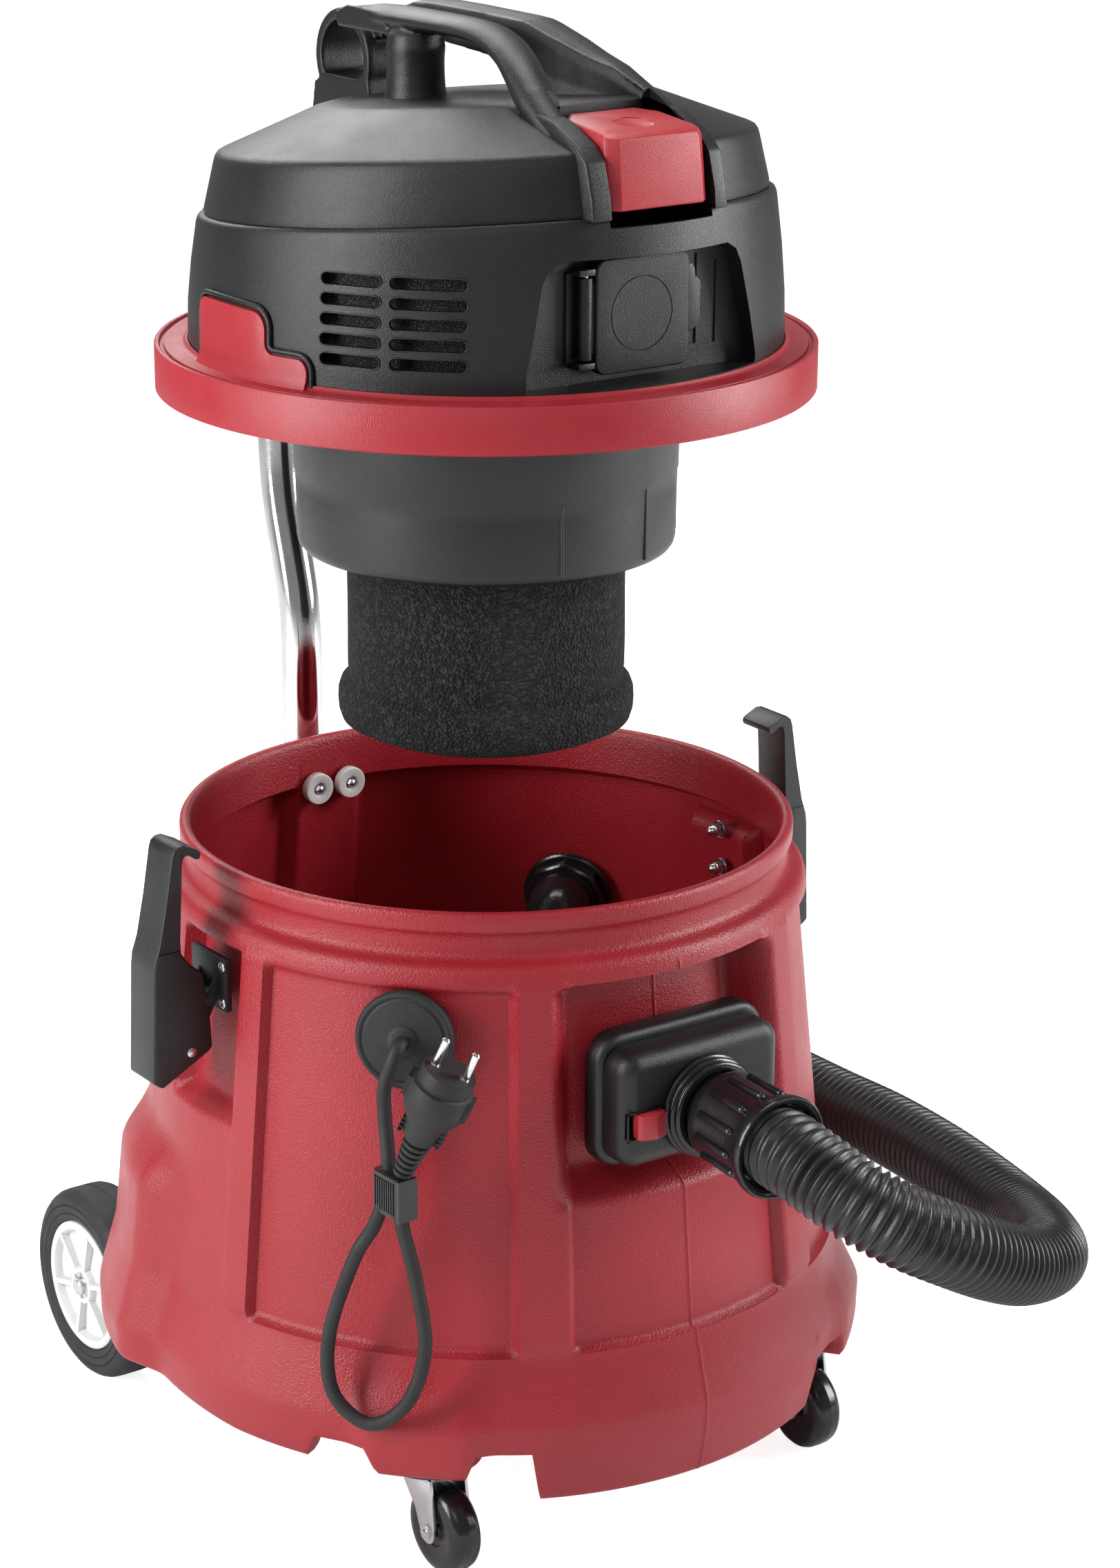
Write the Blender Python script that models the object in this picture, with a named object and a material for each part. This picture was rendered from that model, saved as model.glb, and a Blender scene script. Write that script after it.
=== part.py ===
"""Shop vacuum: a wet tank on wheels, a lift-off motor head and a built-in dirty-water pump.

Metres, +Z up, front at -Y. The machine stands on its wheels at z = 0, with its head held up
above the open tank. Every piece hangs on the empty "machine", which puts the machine's own
axis a little in front of the frame's origin.
"""

import math

import bmesh
import bpy
from mathutils import Matrix, Vector

# Running values for all pieces
GAP = 0.0003                 # clearance between pieces that touch
RUNNING_GAP = 0.0008         # clearance of a piece that turns or slides in another
AXIS_Y = -0.0135             # the machine's axis in the frame

# Tank
TANK_RIM_RADIUS = 0.192
TANK_RIM_Z = 0.417
TANK_WALL = 0.004
TANK_NECK_RADIUS = 0.1885
TANK_SHOULDER_Z = 0.381
TANK_SHOULDER_RADIUS = 0.2005
TANK_WAIST_Z = 0.142
TANK_WAIST_RADIUS = 0.224
TANK_BASE_Z = 0.105
TANK_BASE_RADIUS = 0.236
TANK_UNDERSIDE_Z = 0.086
TANK_FLOOR_Z = 0.092
NOSE_DROP = 0.028            # front skirt below the underside
NOSE_HALF_ANGLE = 29.0
RIB_HEIGHT = 0.004
FRONT_RIB_ANGLE = 27.0
SIDE_RIB_ANGLE = 77.5
RIB_HALF_ANGLE = 2.6
FENDER_ANGLE = 113.0
FENDER_DEPTH = 0.014
FENDER_TOP_Z = 0.215

# Hose holder on the front wall
INLET_Z = 0.301
INLET_RECESS_DEPTH = 0.022
INLET_WIDTH = 0.122
INLET_HEIGHT = 0.084
INLET_PLATE_DEPTH = 0.014
INLET_BOX_WIDTH = 0.116
INLET_BOX_HEIGHT = 0.072
INLET_BOX_DEPTH = 0.022
INLET_PORT_X = 0.001
INLET_PORT_Z = 0.296
COLLAR_RADIUS = 0.031
COLLAR_BORE = 0.0255
COLLAR_LENGTH = 0.012
SLIDER_X = -0.041
SLIDER_Z = 0.294
SLIDER_WIDTH = 0.019
SLIDER_HEIGHT = 0.0155
SLIDER_TRAVEL = 0.004

# Latches, one on each side
LATCH_PIVOT_X = 0.225
LATCH_PIVOT_Z = 0.3096
LATCH_ARM = 0.1206           # from the pivot up to the hook's underside
LATCH_WIDTH = 0.030
LATCH_RECESS_DEPTH = 0.012
LATCH_CLOSE_DEG = 11.0
LATCH_PIN_RADIUS = 0.0025

# Push handle
HANDLE_Y = 0.2175
HANDLE_RADIUS = 0.0135
HANDLE_TOP_Z = 0.735
HANDLE_LEAN = 0.025
HANDLE_KINK_Z = 0.490
HANDLE_FOOT_Z = 0.300
CLAMP_Z = 0.358
SPACER_Z = 0.3835
SPACER_SPACING = 0.025
SPACER_RADIUS = 0.0105
SPACER_THICKNESS = 0.006
CLAMP_WIDTH = 0.046
CLAMP_HEIGHT = 0.034
CHANNEL_DEPTH = 0.010        # channel for the handle in the tank's back
GRIP_RADIUS = 0.015
GRIP_LENGTH = 0.090

# Wheels
WHEEL_RADIUS = 0.065
WHEEL_WIDTH = 0.038
WHEEL_OUTER_X = 0.199
WHEEL_Y = 0.190
HUB_RADIUS = 0.044
AXLE_RADIUS = 0.006
CASTOR_X = 0.140
CASTOR_Y = -0.143
CASTOR_RADIUS = 0.028
CASTOR_WIDTH = 0.021
CASTOR_TRAIL = 0.017
CASTOR_PLATE_RADIUS = 0.027
CASTOR_POD_Z = 0.070

# Motor head, at its raised place
HEAD_RING_RADIUS = 0.1990
HEAD_RING_INNER = 0.1945
HEAD_RING_HEIGHT = 0.036
HEAD_SHELL_WALL = 0.003
HEAD_SHELL_RADIUS = 0.1785
HEAD_STEP_Z = 0.077          # above the ring's top: the step between the two shells
HEAD_STEP_RADIUS = 0.1715
HEAD_UPPER_RADIUS = 0.1670
HEAD_CREASE_Z = 0.112
HEAD_CREASE_RADIUS = 0.1590
HEAD_TOP_Z = 0.137
HEAD_TOP_RADIUS = 0.096
HEAD_SLOPE = 0.088           # rise of the upper housing towards the front
LUG_HEIGHT = 0.034
LUG_HALF_ANGLE = 12.5
POT_RADIUS = 0.118
POT_DEPTH = 0.096            # below the ring's bottom edge
POT_WALL = 0.003
FOAM_RADIUS = 0.0835
FOAM_LENGTH = 0.117
FOAM_THICKNESS = 0.010
FOAM_ROLL = 0.0045
CAGE_RADIUS = 0.068
CAGE_LENGTH = 0.098
FLOAT_RADIUS = 0.030
FLOAT_TRAVEL = 0.014

VENT_ROWS = 5
VENT_PITCH = 0.0112
VENT_LOW = 0.0125            # first slot above the ring's top
VENT_SLOT = 0.0065
VENT_COLUMNS = ((-60.0, 0.037), (-45.0, 0.044))
SPINE_WIDTH = 0.094

# Socket in the head's front
SOCKET_HALF_WIDTH = 0.067
SOCKET_BOTTOM = 0.003        # above the ring's top
SOCKET_HEIGHT = 0.068
SOCKET_FACE_Y = -0.1500
LID_WIDTH = 0.061
LID_HEIGHT = 0.060
LID_THICKNESS = 0.0065
LID_HINGE_X = -0.0405
LID_BOTTOM = 0.0045          # above the socket's bottom
LID_PIN_RADIUS = 0.0016

# Button
BUTTON_WIDTH = 0.070
BUTTON_DEPTH = 0.062
BUTTON_HEIGHT = 0.046
BUTTON_TRAVEL = 0.006
BUTTON_FRONT_Y = -0.1690

# Cable, plug and hose
CABLE_DIAMETER = 0.0085
GROMMET_ANGLE = -47.7
GROMMET_Z = 0.343
GROMMET_RADIUS = 0.030
HOSE_DIAMETER = 0.049
HOSE_CUFF_RADIUS = 0.0320
HOSE_CUFF_LENGTH = 0.055
HOSE_CUFF_DIP = 2.7          # degrees below level
PORT_ANGLE = 129.0
PORT_Z = 0.290
PORT_RADIUS = 0.0215
ELBOW_RADIUS = 0.0235

# Cord centrelines, in the machine's own axes
CABLE_ROUTE = ((-0.1600, -0.1456, 0.3447), (-0.1672, -0.1518, 0.3436), (-0.1730, -0.1480, 0.3220),
               (-0.1730, -0.1475, 0.3040), (-0.1760, -0.1555, 0.2680), (-0.1830, -0.1520, 0.2390),
               (-0.1930, -0.1440, 0.2150), (-0.2040, -0.1330, 0.1650), (-0.2045, -0.1370, 0.1280),
               (-0.1920, -0.1570, 0.1120), (-0.1770, -0.1750, 0.1290), (-0.1680, -0.1810, 0.1640),
               (-0.1700, -0.1760, 0.2040), (-0.1755, -0.1690, 0.2420), (-0.1765, -0.1680, 0.2600),
               (-0.1760, -0.1690, 0.2730))
PLUG_FACE = (-0.1590, -0.1960, 0.3450)
HOSE_ROUTE = ((0.0045, -0.3250, 0.2880), (0.0150, -0.3520, 0.2760), (0.0350, -0.3690, 0.2620),
              (0.0650, -0.3765, 0.2450), (0.1000, -0.3710, 0.2250), (0.1370, -0.3595, 0.2070),
              (0.1750, -0.3400, 0.1950), (0.2080, -0.2980, 0.1820), (0.2340, -0.2510, 0.1710),
              (0.2500, -0.1960, 0.1675), (0.2600, -0.1450, 0.1660), (0.2670, -0.0850, 0.1640),
              (0.2710, -0.0250, 0.1600), (0.2730, 0.0400, 0.1580), (0.2620, 0.0950, 0.1640),
              (0.2440, 0.1340, 0.1740), (0.2270, 0.1540, 0.1880), (0.2150, 0.1660, 0.2060))

RING_BOTTOM_Z = 0.687
RING_TOP_Z = RING_BOTTOM_Z + HEAD_RING_HEIGHT
SEAL_LOW = 0.0078            # the seal's lower face, below the ring's top
HEAD_LIFT = RING_TOP_Z - SEAL_LOW - TANK_RIM_Z - GAP    # how far the head hangs above its seat


# ---------------------------------------------------------------- building blocks

def clear_scene():
    for old in list(bpy.data.objects):
        bpy.data.objects.remove(old, do_unlink=True)


def material(name, colour, roughness, metallic=0.0):
    mat = bpy.data.materials.get(name)
    if mat is None:
        mat = bpy.data.materials.new(name)
        mat.use_nodes = True
        shader = mat.node_tree.nodes["Principled BSDF"]
        shader.inputs["Base Color"].default_value = (*colour, 1.0)
        shader.inputs["Roughness"].default_value = roughness
        shader.inputs["Metallic"].default_value = metallic
    return mat


RED = ("red_polyethylene", (0.36, 0.030, 0.045), 0.45)
RED_ABS = ("red_abs", (0.43, 0.045, 0.055), 0.35)
BLACK = ("black_plastic", (0.018, 0.019, 0.021), 0.5)
RUBBER = ("black_rubber", (0.012, 0.012, 0.013), 0.7)
FOAM = ("black_foam", (0.010, 0.010, 0.011), 0.95)
CHROME = ("chromed_steel", (0.80, 0.80, 0.82), 0.12, 1.0)
ZINC = ("zinc_plated_steel", (0.70, 0.71, 0.73), 0.3, 1.0)
WHITE = ("white_plastic", (0.85, 0.85, 0.83), 0.4)
COPPER = ("motor_metal", (0.45, 0.43, 0.40), 0.4, 1.0)


def empty(name, location, parent=None):
    holder = bpy.data.objects.new(name, None)
    holder.location = location
    holder.parent = parent
    bpy.context.scene.collection.objects.link(holder)
    return holder


def node(name, bm, finish, parent, location=(0, 0, 0), rotation=(0, 0, 0), smooth_deg=35.0):
    """Turn a bmesh into a named object that hangs on its parent."""
    bmesh.ops.recalc_face_normals(bm, faces=bm.faces)
    mesh = bpy.data.meshes.new(name)
    bm.to_mesh(mesh)
    bm.free()
    mesh.shade_smooth()
    mesh.set_sharp_from_angle(angle=math.radians(smooth_deg))
    obj = bpy.data.objects.new(name, mesh)
    obj.location = location
    obj.rotation_euler = rotation
    obj.parent = parent
    bpy.context.scene.collection.objects.link(obj)
    if finish:
        mesh.materials.append(material(*finish))
    else:
        obj.hide_render = True
        obj.display_type = "WIRE"
    return obj


def boolean(obj, tool, operation="DIFFERENCE"):
    mod = obj.modifiers.new(operation.lower() + "_" + tool.name, "BOOLEAN")
    mod.operation = operation
    mod.solver = "EXACT"
    mod.object = tool


def turned(profile, segments=48, arc_deg=360.0, start_deg=0.0):
    """Spin a closed (radius, z) outline about Z. Points on the axis become single vertices."""
    bm = bmesh.new()
    full = arc_deg >= 360.0
    columns = segments if full else segments + 1
    rings = []
    for radius, z in profile:
        if radius < 1e-7:
            rings.append([bm.verts.new((0.0, 0.0, z))] * columns)
            continue
        ring = []
        for i in range(columns):
            a = math.radians(start_deg + arc_deg * i / segments)
            ring.append(bm.verts.new((radius * math.cos(a), radius * math.sin(a), z)))
        rings.append(ring)
    for k in range(len(rings)):
        a, b = rings[k], rings[(k + 1) % len(rings)]
        for i in range(segments):
            j = (i + 1) % columns
            corners = []
            for v in (a[i], a[j], b[j], b[i]):
                if v not in corners:
                    corners.append(v)
            if len(corners) > 2:
                bm.faces.new(corners)
    if not full:
        bm.faces.new([ring[0] for ring in rings])
        bm.faces.new([ring[-1] for ring in reversed(rings)])
    return bm


def box(size, centre=(0, 0, 0), bevel=0.0, segments=1):
    bm = bmesh.new()
    bmesh.ops.create_cube(bm, size=1.0)
    bmesh.ops.scale(bm, vec=size, verts=bm.verts)
    if bevel:
        bmesh.ops.bevel(bm, geom=list(bm.edges), offset=bevel, segments=segments, affect="EDGES",
                        profile=0.5, clamp_overlap=True)
    bmesh.ops.translate(bm, vec=centre, verts=bm.verts)
    return bm


def prism(outline, depth, matrix=Matrix.Identity(4)):
    """Extrude an (x, y) outline by depth along +Z, then place it by the matrix."""
    bm = bmesh.new()
    low = [bm.verts.new((x, y, 0.0)) for x, y in outline]
    high = [bm.verts.new((x, y, depth)) for x, y in outline]
    bm.faces.new(list(reversed(low)))
    bm.faces.new(high)
    for i in range(len(outline)):
        j = (i + 1) % len(outline)
        bm.faces.new((low[i], low[j], high[j], high[i]))
    bmesh.ops.transform(bm, matrix=matrix, verts=bm.verts)
    return bm


def arc_points(cx, cy, radius, start_deg, end_deg, steps):
    points = []
    for i in range(steps + 1):
        a = math.radians(start_deg + (end_deg - start_deg) * i / steps)
        points.append((cx + radius * math.cos(a), cy + radius * math.sin(a)))
    return points


def rounded_outline(width, height, radius, steps=3):
    """A rectangle with round corners, about the origin."""
    w, h = width / 2 - radius, height / 2 - radius
    return (arc_points(w, h, radius, 0, 90, steps) + arc_points(-w, h, radius, 90, 180, steps)
            + arc_points(-w, -h, radius, 180, 270, steps) + arc_points(w, -h, radius, 270, 360, steps))


def stadium(length, width, steps=4):
    half = (length - width) / 2
    return (arc_points(half, 0, width / 2, -90, 90, steps)
            + arc_points(-half, 0, width / 2, 90, 270, steps))


def rod(start, end, radius, segments=12):
    """A solid round bar from start to end."""
    start, end = Vector(start), Vector(end)
    length = (end - start).length
    bm = turned([(0, 0), (radius, 0), (radius, length), (0, length)], segments)
    turn = (end - start).to_track_quat("Z", "Y").to_matrix().to_4x4()
    bmesh.ops.transform(bm, matrix=Matrix.Translation(start) @ turn, verts=bm.verts)
    return bm


def swept(points, sizes, segments=12, bore=None):
    """Loft an ellipse (half width, half height) along a route, or a tube where bore is given."""
    route = [Vector(p) for p in points]
    bm = bmesh.new()

    def skin(scale):
        rings = []
        side = Vector((1, 0, 0))
        for k, p in enumerate(route):
            ahead = route[min(k + 1, len(route) - 1)] - route[max(k - 1, 0)]
            ahead.normalize()
            side = (side - ahead * side.dot(ahead)).normalized()
            up = ahead.cross(side)
            a, b = sizes[k] if isinstance(sizes, list) else sizes
            ring = []
            for i in range(segments):
                t = 2 * math.pi * i / segments
                ring.append(bm.verts.new(p + side * (a * scale * math.cos(t)) + up * (b * scale * math.sin(t))))
            rings.append(ring)
        for a, b in zip(rings, rings[1:]):
            for i in range(segments):
                j = (i + 1) % segments
                bm.faces.new((a[i], a[j], b[j], b[i]))
        return rings

    outer = skin(1.0)
    if bore is None:
        bm.faces.new(outer[0])
        bm.faces.new(outer[-1])
        return bm
    inner = skin(bore)
    for end in (0, -1):
        for i in range(segments):
            j = (i + 1) % segments
            bm.faces.new((outer[end][i], outer[end][j], inner[end][j], inner[end][i]))
    return bm


def smooth_route(points, spacing):
    """Even points along a Catmull-Rom curve through hand-chosen points."""
    p = [Vector(q) for q in points]
    p = [p[0] * 2 - p[1]] + p + [p[-1] * 2 - p[-2]]
    dense = []
    for i in range(1, len(p) - 2):
        for s in range(40):
            t = s / 40
            dense.append(0.5 * ((2 * p[i]) + (p[i + 1] - p[i - 1]) * t
                                + (2 * p[i - 1] - 5 * p[i] + 4 * p[i + 1] - p[i + 2]) * t * t
                                + (3 * p[i] - p[i - 1] - 3 * p[i + 1] + p[i + 2]) * t ** 3))
    dense.append(p[-2])
    lengths = [0.0]
    for a, b in zip(dense, dense[1:]):
        lengths.append(lengths[-1] + (b - a).length)
    count = max(2, round(lengths[-1] / spacing))
    even, k = [], 0
    for i in range(count + 1):
        want = lengths[-1] * i / count
        while k < len(lengths) - 2 and lengths[k + 1] < want:
            k += 1
        share = (want - lengths[k]) / max(lengths[k + 1] - lengths[k], 1e-12)
        even.append(dense[k].lerp(dense[k + 1], min(share, 1.0)))
    return even


def cord(name, route, diameter, spacing, finish, parent, resolution):
    curve = bpy.data.curves.new(name, "CURVE")
    curve.dimensions = "3D"
    curve.bevel_depth = diameter / 2
    curve.bevel_resolution = resolution
    curve.use_fill_caps = True
    points = smooth_route(route, spacing)
    spline = curve.splines.new("POLY")
    spline.points.add(len(points) - 1)
    for target, p in zip(spline.points, points):
        target.co = (*p, 1.0)
    obj = bpy.data.objects.new(name, curve)
    obj.parent = parent
    curve.materials.append(material(*finish))
    bpy.context.scene.collection.objects.link(obj)
    return obj


def on_wall(angle_deg, radius, z=0.0):
    """A point at an angle from the front, positive towards +X."""
    a = math.radians(angle_deg)
    return Vector((radius * math.sin(a), -radius * math.cos(a), z))


def facing(angle_deg, tilt_deg=0.0):
    """Turns local +Z outwards at this angle and up by the tilt, with local +Y up."""
    a, t = math.radians(angle_deg), math.radians(tilt_deg)
    out = Vector((math.sin(a) * math.cos(t), -math.cos(a) * math.cos(t), math.sin(t)))
    side = Vector((0, 0, 1)).cross(out).normalized()
    return Matrix((side, out.cross(side), out)).transposed().to_4x4()


# ---------------------------------------------------------------- tank

def straight_between(x, stations):
    for (x0, y0), (x1, y1) in zip(stations, stations[1:]):
        if x <= x1:
            return y0 + (y1 - y0) * max(0.0, min(1.0, (x - x0) / (x1 - x0)))
    return stations[-1][1]


def body_radius(z):
    return straight_between(z, [(TANK_UNDERSIDE_Z - NOSE_DROP, TANK_BASE_RADIUS - 0.006),
                                (TANK_UNDERSIDE_Z, TANK_BASE_RADIUS),
                                (TANK_BASE_Z, TANK_BASE_RADIUS),
                                (TANK_WAIST_Z, TANK_WAIST_RADIUS),
                                (TANK_SHOULDER_Z, TANK_SHOULDER_RADIUS)])


def tank_features():
    """(centre angle, half angle, low z, high z, depth, angle blend, z blend); depth is outwards."""
    rib_low, rib_high = TANK_WAIST_Z + 0.012, TANK_SHOULDER_Z - 0.004
    recess_high = TANK_SHOULDER_Z - 0.012
    half_box = math.degrees(INLET_WIDTH / 2 / TANK_SHOULDER_RADIUS) + 2.0
    half_latch = math.degrees((LATCH_WIDTH / 2 + 0.009) / TANK_SHOULDER_RADIUS)
    half_channel = math.degrees((CLAMP_WIDTH / 2 + 0.002) / TANK_SHOULDER_RADIUS)
    rows = []
    for angle in (-SIDE_RIB_ANGLE, -FRONT_RIB_ANGLE, FRONT_RIB_ANGLE, SIDE_RIB_ANGLE):
        rows.append((angle, RIB_HALF_ANGLE, rib_low, rib_high, RIB_HEIGHT, 1.0, 0.006))
    rows.append((0.0, half_box, INLET_Z - INLET_HEIGHT / 2 - 0.008, recess_high, -INLET_RECESS_DEPTH, 1.8, 0.012))
    rows.append((180.0, half_channel, HANDLE_FOOT_Z - 0.006, TANK_SHOULDER_Z + 1, -CHANNEL_DEPTH, 1.5, 0.012))
    for side in (-90.0, 90.0):
        rows.append((side, half_latch, LATCH_PIVOT_Z - 0.030, recess_high, -LATCH_RECESS_DEPTH, 1.2, 0.012))
    for side in (-FENDER_ANGLE, FENDER_ANGLE):
        rows.append((side, 9.0, 0.0, FENDER_TOP_Z, FENDER_DEPTH, 5.0, 0.030))
    return rows


def wrapped(angle):
    return (angle + 180.0) % 360.0 - 180.0


def feature_depth(angle, z, features):
    total = 0.0
    for centre, half, z_low, z_high, depth, soft, z_soft in features:
        across = (half - abs(wrapped(angle - centre))) / soft + 1
        along = min((z - z_low) / z_soft + 1, (z_high - z) / z_soft + 1)
        total += depth * max(0.0, min(1.0, across)) * max(0.0, min(1.0, along))
    return total


def tank_columns(features, step):
    edges = {-NOSE_HALF_ANGLE - 0.5, -NOSE_HALF_ANGLE + 0.5, NOSE_HALF_ANGLE - 0.5, NOSE_HALF_ANGLE + 0.5}
    for centre, half, _, _, _, soft, _ in features:
        edges.update(wrapped(centre + d) for d in (-half - soft, -half, half, half + soft))
    kept = []
    for edge in sorted(edges):
        if not kept or edge - kept[-1] > 0.4:
            kept.append(edge)
    angle = -180.0
    fill = []
    while angle < 180.0:
        if all(abs(angle - edge) > step / 2 for edge in kept):
            fill.append(angle)
        angle += step
    return sorted(kept + fill)


def tank_skirt_z(angle):
    inside = max(0.0, min(1.0, NOSE_HALF_ANGLE + 0.5 - abs(angle)))
    return TANK_UNDERSIDE_Z - NOSE_DROP * inside


def tank_shell(machine):
    features = tank_features()
    columns = tank_columns(features, 12.0)
    bm = bmesh.new()
    levels = sorted({TANK_BASE_Z, TANK_WAIST_Z, TANK_WAIST_Z + 0.006, TANK_WAIST_Z + 0.012,
                     FENDER_TOP_Z, FENDER_TOP_Z + 0.030, INLET_Z - INLET_HEIGHT / 2 - 0.020,
                     INLET_Z - INLET_HEIGHT / 2 - 0.008, LATCH_PIVOT_Z - 0.042, LATCH_PIVOT_Z - 0.030,
                     HANDLE_FOOT_Z - 0.018, HANDLE_FOOT_Z - 0.006,
                     TANK_SHOULDER_Z - 0.012, TANK_SHOULDER_Z - 0.004, TANK_SHOULDER_Z})
    rings = []
    rings.append([bm.verts.new(on_wall(a, body_radius(tank_skirt_z(a)), tank_skirt_z(a))) for a in columns])
    for z in levels:
        rings.append([bm.verts.new(on_wall(a, body_radius(z) + feature_depth(a, z, features), z)) for a in columns])
    lip = TANK_RIM_Z - 0.012
    for radius, z in ((TANK_NECK_RADIUS + 0.004, TANK_SHOULDER_Z + 0.005), (TANK_NECK_RADIUS, lip - 0.003),
                      (TANK_RIM_RADIUS, lip), (TANK_RIM_RADIUS, TANK_RIM_Z - 0.002),
                      (TANK_RIM_RADIUS - 0.002, TANK_RIM_Z), (TANK_RIM_RADIUS - 0.006, TANK_RIM_Z),
                      (TANK_NECK_RADIUS - TANK_WALL, TANK_RIM_Z - 0.004),
                      (TANK_NECK_RADIUS - TANK_WALL, TANK_SHOULDER_Z)):
        rings.append([bm.verts.new(on_wall(a, radius, z)) for a in columns])
    inner_levels = [TANK_SHOULDER_Z - 0.012] + sorted(
        {HANDLE_FOOT_Z - 0.006, HANDLE_FOOT_Z - 0.018, LATCH_PIVOT_Z - 0.030, LATCH_PIVOT_Z - 0.042,
         INLET_Z - INLET_HEIGHT / 2 - 0.008, INLET_Z - INLET_HEIGHT / 2 - 0.020,
         TANK_WAIST_Z, TANK_FLOOR_Z + 0.020}, reverse=True)
    for z in inner_levels:
        ring = []
        for a in columns:
            dent = min(0.0, feature_depth(a, z, features))
            ring.append(bm.verts.new(on_wall(a, body_radius(z) + dent - TANK_WALL, z)))
        rings.append(ring)
    rings.append([bm.verts.new(on_wall(a, TANK_BASE_RADIUS - 0.028, TANK_FLOOR_Z)) for a in columns])
    count = len(columns)
    for a, b in zip(rings, rings[1:]):
        for i in range(count):
            j = (i + 1) % count
            bm.faces.new((a[i], a[j], b[j], b[i]))
    floor_mid = bm.verts.new((0, 0, TANK_FLOOR_Z))
    for i in range(count):
        bm.faces.new((rings[-1][i], rings[-1][(i + 1) % count], floor_mid))
    # underside: the skirt's inner face, then a flat bottom
    inner = [bm.verts.new(on_wall(a, body_radius(TANK_UNDERSIDE_Z) - 0.014, tank_skirt_z(a))) for a in columns]
    root = [bm.verts.new(on_wall(a, body_radius(TANK_UNDERSIDE_Z) - 0.016, TANK_UNDERSIDE_Z + 0.0001))
            for a in columns]
    under_mid = bm.verts.new((0, 0, TANK_UNDERSIDE_Z + 0.0001))
    for i in range(count):
        j = (i + 1) % count
        bm.faces.new((rings[0][j], rings[0][i], inner[i], inner[j]))
        bm.faces.new((inner[j], inner[i], root[i], root[j]))
        bm.faces.new((root[j], root[i], under_mid))
    tank = node("tank_shell", bm, RED, machine)
    for side in (-1, 1):
        pod = node(f"pod_tool_{side}", turned([(0, CASTOR_POD_Z), (CASTOR_PLATE_RADIUS + 0.004, CASTOR_POD_Z),
                                                (CASTOR_PLATE_RADIUS + 0.006, TANK_UNDERSIDE_Z + 0.003),
                                                (0, TANK_UNDERSIDE_Z + 0.003)], 20),
                   None, machine, (side * CASTOR_X, CASTOR_Y, 0))
        boolean(tank, pod, "UNION")
        well = node(f"well_tool_{side}", rod((side * (WHEEL_OUTER_X - WHEEL_WIDTH - 0.006), WHEEL_Y, WHEEL_RADIUS),
                                              (side * 0.30, WHEEL_Y, WHEEL_RADIUS), WHEEL_RADIUS + 0.008, 28),
                    None, machine)
        boolean(tank, well)
        hanger_x = side * (WHEEL_OUTER_X - WHEEL_WIDTH - 0.022)
        low = WHEEL_RADIUS - AXLE_RADIUS - 0.004
        hanger = node(f"hanger_tool_{side}", box((0.014, 0.024, TANK_FLOOR_Z - 0.002 - low),
                                                  (hanger_x, WHEEL_Y, (TANK_FLOOR_Z - 0.002 + low) / 2)),
                      None, machine)
        boolean(tank, hanger, "UNION")
        bore = node(f"hanger_bore_tool_{side}", rod((hanger_x - 0.02, WHEEL_Y, WHEEL_RADIUS),
                                                     (hanger_x + 0.02, WHEEL_Y, WHEEL_RADIUS),
                                                     AXLE_RADIUS + GAP, 20), None, machine)
        boolean(tank, bore)
    port = node("port_tool", rod(on_wall(PORT_ANGLE, 0.150, PORT_Z), on_wall(PORT_ANGLE, 0.260, PORT_Z),
                                  PORT_RADIUS + GAP, 20), None, machine)
    boolean(tank, port)
    cable_hole = node("cable_tool", rod(on_wall(GROMMET_ANGLE, 0.150, GROMMET_Z),
                                         on_wall(GROMMET_ANGLE, 0.260, GROMMET_Z), 0.012, 16), None, machine)
    boolean(tank, cable_hole)
    return tank


def wall_tilt():
    """How far the tank's wall leans back, in degrees."""
    return math.degrees(math.atan2(TANK_WAIST_RADIUS - TANK_SHOULDER_RADIUS, TANK_SHOULDER_Z - TANK_WAIST_Z))


def place(bm, matrix):
    bmesh.ops.transform(bm, matrix=matrix, verts=bm.verts)
    return bm


def grommet(machine):
    profile = [(0, -0.004), (0.0105, -0.004), (0.0105, 0.0), (GROMMET_RADIUS, 0.0), (GROMMET_RADIUS, 0.006),
               (GROMMET_RADIUS - 0.003, 0.0085), (GROMMET_RADIUS - 0.007, 0.0075), (0.009, 0.0085), (0, 0.0085)]
    wall = on_wall(GROMMET_ANGLE, body_radius(GROMMET_Z) + 0.0012, GROMMET_Z)
    turn = Matrix.Translation(wall) @ facing(GROMMET_ANGLE, wall_tilt())
    node("cable_grommet", place(turned(profile, 20), turn), RUBBER, machine)


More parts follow.
